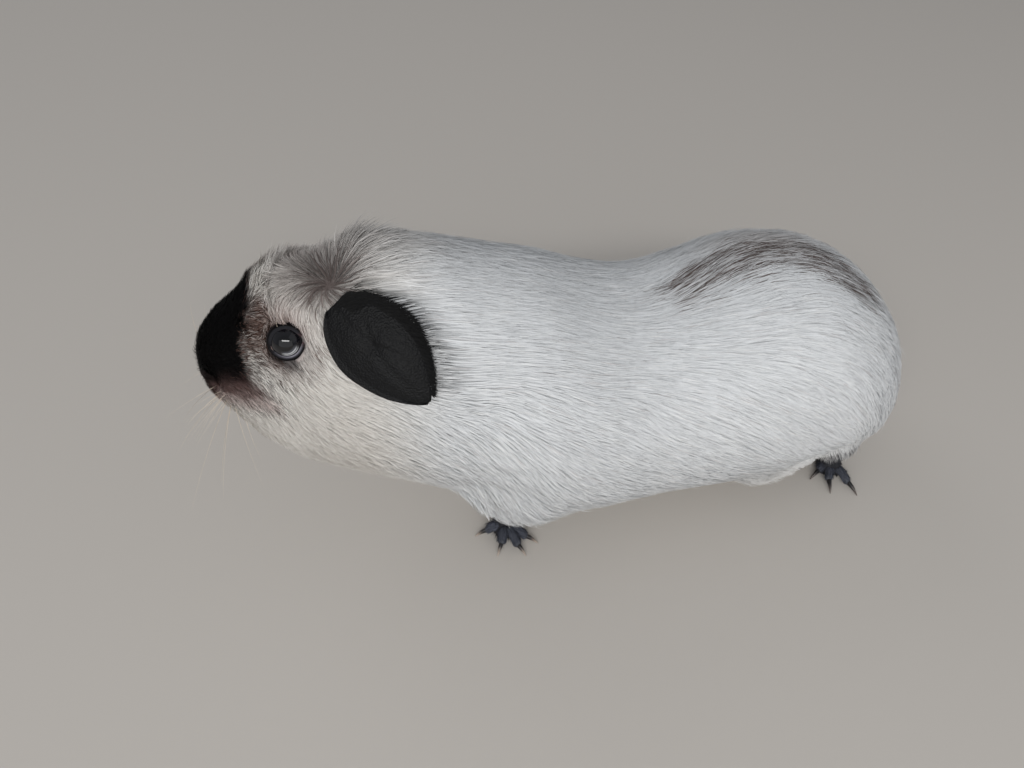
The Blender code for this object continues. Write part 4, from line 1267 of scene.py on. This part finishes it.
def eye_piece(name, eye, axis):
    a, e1, e2 = frame_of(axis)
    nt_, nf = 96, 96
    th, ph = np.meshgrid(np.linspace(0, np.pi, nt_), np.linspace(0, 2 * np.pi, nf, endpoint=False), indexing="ij")
    r = EYE_RAD * (0.985 + 0.040 * np.exp(-((th / 0.62) ** 2)))       # a slightly bulging cornea
    d = (np.cos(th)[..., None] * a + (np.sin(th) * np.cos(ph))[..., None] * e1 + (np.sin(th) * np.sin(ph))[..., None] * e2)
    pts = eye + d * r[..., None]
    me = grid_mesh(name, pts.transpose(1, 0, 2), closed_u=True)
    bm = bmesh.new()
    bm.from_mesh(me)
    bmesh.ops.remove_doubles(bm, verts=bm.verts, dist=1e-7)
    bmesh.ops.recalc_face_normals(bm, faces=bm.faces[:])
    bm.to_mesh(me)
    bm.free()
    smooth_shading(me)
    co_, _ = mesh_arrays(me)
    t = np.degrees(np.arccos(np.clip(norm(co_ - eye) @ a, -1, 1)))
    dirs = norm(co_ - eye)
    low = norm(np.array((0.34, 0.0, -0.94)))
    low = norm(low - a * (low @ a))
    g_ = dirs @ low
    pupil = step(24, 30, t)[:, None]
    col = srgb(3, 4, 8) * (1 - pupil) + srgb(13, 13, 19) * pupil
    # painted reflection: a pale crescent low in the eye, towards the back corner
    fine = 0.80 + 0.20 * np.sin(np.degrees(np.arctan2(dirs @ e1, dirs @ e2)) * 0.9)
    painted_reflection_arc2 = np.exp(-(((t - 27.0) / 3.4) ** 2)) * step(0.20, 0.44, g_) * 0.50 * fine
    col = col * (1 - painted_reflection_arc2[:, None]) + srgb(112, 116, 126) * painted_reflection_arc2[:, None]
    painted_reflection_arc = (np.exp(-(((t - 33.5) / 2.2) ** 2)) * step(0.30, 0.52, g_) + 0.9 * np.exp(-(((t - 40.0) / 1.8) ** 2)) * step(0.36, 0.60, g_)) * 0.97 * fine
    painted_reflection_arc = np.clip(painted_reflection_arc, 0, 1)
    col = col * (1 - painted_reflection_arc[:, None]) + srgb(236, 239, 244) * painted_reflection_arc[:, None]
    colour_attribute(me, col)
    o = link(bpy.data.objects.new(name, me))
    o.data.materials.append(M_EYE)
    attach(o, "root")
    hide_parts(name.replace("ball", ""))
    TALLY[name] = len(me.polygons) * 2
    return o


def lid_piece(name, eye, axis, sgn):
    """The lids: a pale inner edge that is a painted reflection on the wet rim, a dark rounded margin, and folded skin
    that runs under the coat.
    """
    a, e1, e2 = frame_of(axis)
    # directions of the two corners, in the plane of the opening
    front, back = np.array((-0.94, 0.0, -0.30)), np.array((0.90, 0.0, 0.10))
    pf = math.atan2(front @ e2, front @ e1)
    pb = math.atan2(back @ e2, back @ e1)
    nf = 160
    ph = np.linspace(0, 2 * np.pi, nf, endpoint=False)

    def near(c, w):
        d = np.abs((ph - c + np.pi) % (2 * np.pi) - np.pi)
        return np.exp(-((d / w) ** 2))

    cf, cb = near(pf, 0.26), near(pb, 0.30)
    opening = 50.0 + 9.0 * cf + 8.0 * cb
    prof = [(-5, -0.25), (-1.5, 0.06), (0.0, 0.20), (1.2, 0.40), (2.6, 0.60), (4.5, 0.76), (7.0, 0.84),
            (9.5, 0.82), (12, 0.84), (15, 0.76), (18, 0.74), (22, 0.56), (27, 0.20), (33, -0.5)]
    rows = []
    for k, (dth, h) in enumerate(prof):
        th = np.radians(opening + dth)
        fold = (0.035 * np.sin(ph * 17 + k * 0.8) + 0.03 * np.sin(ph * 7 + 1.0)) * (1 if 7 <= k <= 11 else 0)
        r = EYE_RAD + (h + fold) * 0.001
        if k <= 3:                                       # the corners are open pockets
            r = r - 0.00035 * (cf + cb)
        d = (np.cos(th)[:, None] * a + (np.sin(th) * np.cos(ph))[:, None] * e1 + (np.sin(th) * np.sin(ph))[:, None] * e2)
        rows.append(eye + d * r[:, None])
    pts = np.stack(rows, 1)
    me = grid_mesh(name, pts, closed_u=True)
    bm = bmesh.new()
    bm.from_mesh(me)
    bmesh.ops.recalc_face_normals(bm, faces=bm.faces[:])
    mid = Vector(eye)
    out = sum(1 if f.normal.dot(f.calc_center_median() - mid) > 0 else -1 for f in bm.faces)
    if out < 0:
        bmesh.ops.reverse_faces(bm, faces=bm.faces[:])
    bm.to_mesh(me)
    bm.free()
    smooth_shading(me)
    tones = [srgb(8, 8, 11), srgb(14, 14, 17), srgb(22, 22, 26), srgb(34, 34, 39), srgb(26, 26, 30), srgb(12, 11, 13),
             srgb(12, 10, 12), srgb(22, 19, 21), srgb(40, 36, 38), srgb(58, 53, 54), srgb(78, 72, 72), srgb(100, 93, 92),
             srgb(120, 112, 110), srgb(130, 122, 120)]
    col = np.repeat(np.stack(tones)[None], nf, 0)
    # painted reflection: the wet inner edge is palest low and at the back, where it catches the light
    low = np.array((0.40, 0.0, -0.92))
    plow = math.atan2(low @ e2, low @ e1)
    painted_wet_reflection = (np.clip(near(plow, 1.05) + 0.04, 0, 1)[:, None] * np.array([0.25, 0.62, 0.42, 0.05] + [0] * 10))[..., None]
    col = col * (1 - painted_wet_reflection) + srgb(168, 166, 178) * painted_wet_reflection
    # dark tear streak at the front corner, a pinkish brown caruncle at the back
    k = (cf[:, None] * np.array([0, 0, 0.4, .8, .9, .9, .9, .85, .8, .65, .45, .2, 0, 0]))[..., None]
    col = col * (1 - k) + srgb(22, 19, 20) * k
    k = (cb[:, None] * np.array([.9, .9, .9, .6, .3, .4, .5, .5, .4, .3, .2, .1, 0, 0]))[..., None]
    col = col * (1 - k) + srgb(120, 86, 84) * k
    colour_attribute(me, col.reshape(-1, 3))
    o = link(bpy.data.objects.new(name, me))
    o.data.materials.append(M_LID)
    s = o.modifiers.new("smooth", "SUBSURF")
    s.levels = s.render_levels = 1
    o.data = evaluated(o)
    o.modifiers.clear()
    smooth_shading(o.data)
    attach(o, "root")
    TALLY[name] = len(o.data.polygons) * 2
    return o


eye_piece("eyeball_left", EYE_L, EYE_AXES["left"])
eye_piece("eyeball_right", EYE_R, EYE_AXES["right"])
lid_piece("lids_left", EYE_L, EYE_AXES["left"], -1)
lid_piece("lids_right", EYE_R, EYE_AXES["right"], 1)


# ---------------------------------------------------------------- whiskers and claws
def tubes(name, paths, radii, colour, rough=0.35, seg=6, steps=14):
    """Tapered round hairs through three points each, as one mesh."""
    vs, fs = [], []
    for (p0, p1, p2), r0 in zip(paths, radii):
        t = np.linspace(0, 1, steps)[:, None]
        c = p0 * (1 - t) ** 2 + 2 * p1 * t * (1 - t) + p2 * t ** 2
        tan = norm(np.gradient(c, axis=0))
        s1 = norm(np.cross(tan, np.array((0.3, 0.2, 0.93))))
        s2 = np.cross(tan, s1)
        base = len(vs)
        for k in range(steps):
            r = r0 * (1 - 0.88 * k / (steps - 1))
            for q in range(seg):
                a = 2 * math.pi * q / seg
                vs.append(c[k] + (s1[k] * math.cos(a) + s2[k] * math.sin(a)) * r)
        for k in range(steps - 1):
            for q in range(seg):
                w = (q + 1) % seg
                fs.append((base + k * seg + q, base + k * seg + w, base + (k + 1) * seg + w, base + (k + 1) * seg + q))
        fs.append(tuple(base + q for q in range(seg - 1, -1, -1)))
        fs.append(tuple(base + (steps - 1) * seg + q for q in range(seg)))
    me = bpy.data.meshes.new(name)
    me.from_pydata([tuple(v) for v in vs], [], fs)
    me.update()
    smooth_shading(me)
    mat, nt, b = principled(name + "_finish", rough, 0.4)
    rgb = node(nt, "ShaderNodeRGB")
    rgb.outputs[0].default_value = (*colour, 1)
    col, _ = tinted(nt, rgb.outputs[0], 0.8, 1.1, 600)
    nt.links.new(col, b.inputs["Base Color"])
    me.materials.append(mat)
    o = link(bpy.data.objects.new(name, me))
    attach(o, "root")
    TALLY[name] = len(me.polygons) * 2
    return o


def whiskers():
    rng = np.random.default_rng(77)
    named = [((-0.1222, -0.0125, 0.0915), (-0.1275, -0.0345, 0.0985)), ((-0.1210, -0.0140, 0.0895), (-0.1300, -0.0385, 0.0905)),
             ((-0.1190, -0.0160, 0.0890), (-0.1300, -0.0500, 0.0795)), ((-0.1185, -0.0165, 0.0870), (-0.1180, -0.0480, 0.0850)),
             ((-0.1190, -0.0150, 0.0850), (-0.1240, -0.0420, 0.0720)), ((-0.1165, -0.0165, 0.0880), (-0.1090, -0.0430, 0.0740)),
             ((-0.1150, -0.0150, 0.0800), (-0.1130, -0.0270, 0.0700))]
    paths, radii = [], []
    for sgn in (1, -1):
        for a, b in named:
            a, b = np.array(a), np.array(b)
            b = b + rng.normal(size=3) * 0.0012
            if sgn == -1:
                a[1], b[1] = 2 * MID_Y - a[1], 2 * MID_Y - b[1]
                b = b + rng.normal(size=3) * 0.0020
            loc, n = nearest(a[None])
            a = loc[0] - n[0] * 0.0006
            mid = (a + b) / 2 + np.array((0, 0, 0.0022)) + n[0] * 0.0012
            paths.append((a, mid, b))
            radii.append(0.000088)
        for i in range(12):                                # shorter ones between
            a = np.array((rng.uniform(-0.1245, -0.114), MID_Y - sgn * rng.uniform(0.007, 0.0105), rng.uniform(0.0825, 0.0945)))
            loc, n = nearest(a[None])
            a = loc[0] - n[0] * 0.0005
            d = norm(n[0] + np.array((-0.25, 0, -0.55)) + rng.normal(size=3) * 0.18)
            b = a + d * rng.uniform(0.009, 0.021)
            mid = (a + b) / 2 + np.array((0, 0, 0.0012))
            paths.append((a, mid, b))
            radii.append(0.000062)
        # a few long brow hairs over the eye
        eye = EYE_L if sgn == 1 else EYE_R
        for i in range(3):
            a = eye + np.array((rng.uniform(-0.004, 0.003), -sgn * 0.001, 0.0085))
            loc, n = nearest(a[None])
            b = loc[0] + norm(n[0] + np.array((0.5, 0, 0.5))) * rng.uniform(0.004, 0.006)
            paths.append((loc[0] - n[0] * 0.0004, (loc[0] + b) / 2 + n[0] * 0.001, b))
            radii.append(0.00006)
    return tubes("whiskers", paths, radii, tuple(srgb(232, 218, 200)))


o = whiskers()


def tube(c, radii, seg, flat=1.0):
    """A closed round tube along points c. Returns points and faces."""
    tan = norm(np.gradient(c, axis=0))
    up = np.array((0, 0, 1.0))
    s1 = norm(np.cross(tan, up))
    s2 = norm(np.cross(s1, tan))
    a = np.linspace(0, 2 * np.pi, seg, endpoint=False)
    pts = (c[:, None] + s1[:, None] * (np.cos(a)[None, :, None] * radii[:, None, None])
           + s2[:, None] * (np.sin(a)[None, :, None] * radii[:, None, None] * flat))
    n = len(c)
    f = [(k * seg + q, k * seg + (q + 1) % seg, (k + 1) * seg + (q + 1) % seg, (k + 1) * seg + q)
         for k in range(n - 1) for q in range(seg)]
    f.append(tuple(range(seg - 1, -1, -1)))
    f.append(tuple((n - 1) * seg + q for q in range(seg)))
    return pts.reshape(-1, 3), f


def horn_material():
    mat, nt, b = principled("horn", 0.30, 0.5)
    at = node(nt, "ShaderNodeAttribute", attribute_name="coat")
    col, nz = tinted(nt, at.outputs["Color"], 0.82, 1.15, 2600, 4)
    nt.links.new(col, b.inputs["Base Color"])
    bump(nt, b, nz, 0.3, 0.0001)
    return mat


def toe_material():
    mat, nt, b = principled("toe_skin", 0.45, 0.4)
    at = node(nt, "ShaderNodeAttribute", attribute_name="coat")
    col, nz = tinted(nt, at.outputs["Color"], 0.70, 1.25, 1800, 5)
    nt.links.new(col, b.inputs["Base Color"])
    vo = node(nt, "ShaderNodeTexVoronoi")
    vo.inputs["Scale"].default_value = 1900
    nt.links.new(node(nt, "ShaderNodeTexCoord").outputs["Object"], vo.inputs["Vector"])
    bump(nt, b, vo.outputs["Distance"], 0.6, 0.0002)
    return mat


M_HORN, M_TOE = horn_material(), toe_material()
toe_rows = []                                            # for the hair on the toes
for foot, (bases, ends) in TOES.items():
    palm = PALM[foot]
    hind = foot.startswith("hind")
    vs, fs, cs, at_ = [], [], [], 0
    for k, (b0, e0) in enumerate(zip(bases, ends)):
        out = norm(np.array((e0[0] - palm[0], e0[1] - palm[1], 0.0)))
        end = b0 + out * 0.0006
        end[2] = max(end[2], 0.0016)
        start = palm + out * 0.0022
        start[2] = 0.0042 if not hind else 0.0036
        t = np.linspace(0, 1, 16)[:, None]
        c = start * (1 - t) + end * t
        c[:, 2] += 0.0016 * np.sin(np.pi * t[:, 0] ** 0.8)            # the arch of the toe
        tt_ = t[:, 0]
        rad = 0.00204 + 0.00014 * np.exp(-(((tt_ - 0.42) / 0.13) ** 2)) + 0.00012 * np.exp(-(((tt_ - 0.80) / 0.11) ** 2))
        rad = rad * (1 - 0.16 * tt_) * np.sqrt(np.clip(1 - np.clip((tt_ - 0.86) / 0.15, 0, 1) ** 2, 0.10, 1)) * (0.92 if hind else 1.0)
        c[:, 2] = np.maximum(c[:, 2], rad * 0.92 + 0.0001)
        p_, f_ = tube(c, rad, 14, 0.92)
        p_[:, 2] = np.maximum(p_[:, 2], 0.0001)
        vs.append(p_)
        fs += [tuple(i + at_ for i in f) for f in f_]
        at_ += len(p_)
        # painted highlight: each toe is lighter along its middle, where its arch takes the light
        painted_light_level = np.repeat(0.85 + 0.45 * np.sin(np.pi * tt_) , 14)[:, None]
        cs.append(srgb(62, 65, 73)[None] * painted_light_level)
        toe_rows.append((c, rad, out, hind))
        # the claw: curved, dark at the root, paler at the point
        name = f"claw_{foot}_{k + 1}"
        L_ = float(np.linalg.norm(e0[:2] - b0[:2])) + 0.0012
        u = np.linspace(0, 1, 12)[:, None]
        root = c[-3].copy()
        root[2] = max(root[2], 0.0018)
        tip = np.array((e0[0], e0[1], 0.00045))
        mid = (root + tip) / 2 + np.array((0, 0, 0.0013))
        cc = root * (1 - u) ** 2 + 2 * mid * u * (1 - u) + tip * u ** 2
        rr = 0.00092 * (1 - u[:, 0] ** 1.7) + 0.00010
        cc[:, 2] = np.maximum(cc[:, 2], rr + 0.00005)
        p_, f_ = tube(cc, rr, 10, 1.15)
        p_[:, 2] = np.maximum(p_[:, 2], 0.0001)
        me = bpy.data.meshes.new("horn_" + name)
        me.from_pydata(p_.tolist(), [], f_)
        me.update()
        smooth_shading(me)
        k_ = np.repeat(step(0.35, 1.0, u[:, 0]), 10)[:, None]
        colour_attribute(me, srgb(34, 32, 34) * (1 - k_) + (srgb(104, 94, 88) if hind else srgb(192, 176, 162)) * k_)
        me.materials.append(M_HORN)
        o = link(bpy.data.objects.new("horn_" + name, me))
        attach(o, "root")
        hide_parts(name)
        TALLY["horn_" + name] = len(me.polygons) * 2
    me = bpy.data.meshes.new("toes_" + foot)
    me.from_pydata(np.concatenate(vs).tolist(), [], fs)
    me.update()
    smooth_shading(me)
    colour_attribute(me, np.concatenate(cs))
    me.materials.append(M_TOE)
    o = link(bpy.data.objects.new("toes_" + foot, me))
    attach(o, "root")
    TALLY["toes_" + foot] = len(me.polygons) * 2


def toe_hair(seed, each):
    """Short dark hair on the backs of the toes."""
    rng = np.random.default_rng(seed)
    Ps, Ns, roots, K = [], [], [], 3
    tt = np.linspace(0, 1, K + 1)
    for c, rad, out, hind in toe_rows:
        n = int(each * SHARE)
        s_ = rng.uniform(0.02, 0.80, n)
        i = (s_ * (len(c) - 1)).astype(int)
        ph = rng.uniform(-1.35, 1.35, n)
        side = np.cross(out, np.array((0, 0, 1.0)))
        nn = np.cos(ph)[:, None] * np.array((0, 0, 1.0)) + np.sin(ph)[:, None] * side
        p0 = c[i] + nn * (rad[i] * 0.96)[:, None]
        L = rng.uniform(0.0014, 0.0030, n)
        d = norm(out[None] + np.array((0, 0, -0.15)) + rng.normal(size=(n, 3)) * 0.16)
        P = np.stack([p0 + d * (L * t)[:, None] + nn * (0.00035 * t * (1.6 - t)) for t in tt], 1)
        P[..., 2] -= (0.0006 * (s_ > 0.55))[:, None] * tt[None, :] ** 2
        P[..., 2] = np.maximum(P[..., 2], 0.0003)
        Ps.append(P)
        Ns.append(np.repeat(nn[:, None], K + 1, 1))
        roots.append(p0)
    P, N, root = np.concatenate(Ps), np.concatenate(Ns), np.concatenate(roots)
    n = len(P)
    tone = rng.uniform(0.55, 1.7, n)[:, None]
    col = srgb(78, 81, 91)[None] * tone
    g = dict(P=P, N=N, W=rng.uniform(0.00011, 0.00019, n), L=None, root=root, K=K, t=tt, rng=rng)
    locks_to_mesh("coat_toes", g, np.arange(n), col, region_uv(root), roll=0.3, shade=(0.8, 1.0, 1.2), slot="foot_skin", sleek=0.5)
    TALLY["coat_toes"] = n * 5


toe_hair(808, 320)
print("TRIANGLES", sum(TALLY.values()), TALLY)

# ---------------------------------------------------------------- stage, light, camera
floor_me = bpy.data.meshes.new("floor")
floor_me.from_pydata([(-3, -3, 0), (3, -3, 0), (3, 3, 0), (-3, 3, 0)], [], [(0, 1, 2, 3)])
floor = link(bpy.data.objects.new("floor", floor_me))
fm, fnt, fb = principled("floor_pale", 0.9, 0.1)
fb.inputs["Base Color"].default_value = (0.60, 0.565, 0.525, 1)
floor_me.materials.append(fm)

world = bpy.data.worlds.new("studio")
world.use_nodes = True
world.node_tree.nodes["Background"].inputs[0].default_value = (0.83, 0.845, 0.87, 1)
world.node_tree.nodes["Background"].inputs[1].default_value = 0.34
bpy.context.scene.world = world


def area(name, place, target, size, size_y, power, colour=(1, 1, 1)):
    li = bpy.data.lights.new(name, "AREA")
    li.shape = "RECTANGLE"
    li.size, li.size_y, li.energy, li.color = size, size_y, power, colour
    o = link(bpy.data.objects.new(name, li))
    o.location = place
    o.rotation_euler = (Vector(target) - Vector(place)).to_track_quat("-Z", "Y").to_euler()
    return o


area("key", (-0.26, -0.92, 0.91), (-0.03, 0, 0.05), 1.10, 0.165, 6.7, (1.0, 0.995, 0.98))
area("front", (-0.35, -1.28, 0.50), (-0.04, 0, 0.04), 2.6, 1.3, 5.6, (1.0, 0.995, 0.985))
area("fill", (1.3, -0.7, 1.3), (0, 0, 0.05), 1.8, 1.8, 2.2, (0.95, 0.97, 1.0))
area("rim", (-0.7, 1.0, 1.1), (0, 0, 0.05), 0.9, 0.9, 2.0, (0.95, 0.97, 1.0))

bpy.context.scene.view_settings.view_transform = "Standard"

cam_data = bpy.data.cameras.new("camera")
cam_data.sensor_width = 36.0
cam_data.lens = 770.0 / 1024.0 * 36.0
cam_data.clip_start = 0.01
cam = link(bpy.data.objects.new("camera", cam_data))
yaw, pitch, roll = math.radians(10.3435), math.radians(48.0332), math.radians(0.1856)
fwd = Vector((math.sin(yaw) * math.cos(pitch), math.cos(yaw) * math.cos(pitch), -math.sin(pitch)))
right = Vector((math.cos(yaw), -math.sin(yaw), 0))
upv = right.cross(fwd)
r2 = right * math.cos(roll) + upv * math.sin(roll)
u2 = upv * math.cos(roll) - right * math.sin(roll)
cam.matrix_world = Matrix(((r2.x, u2.x, -fwd.x, -0.0587948), (r2.y, u2.y, -fwd.y, -0.1904371),
                           (r2.z, u2.z, -fwd.z, 0.2744682), (0, 0, 0, 1)))
bpy.context.scene.camera = cam
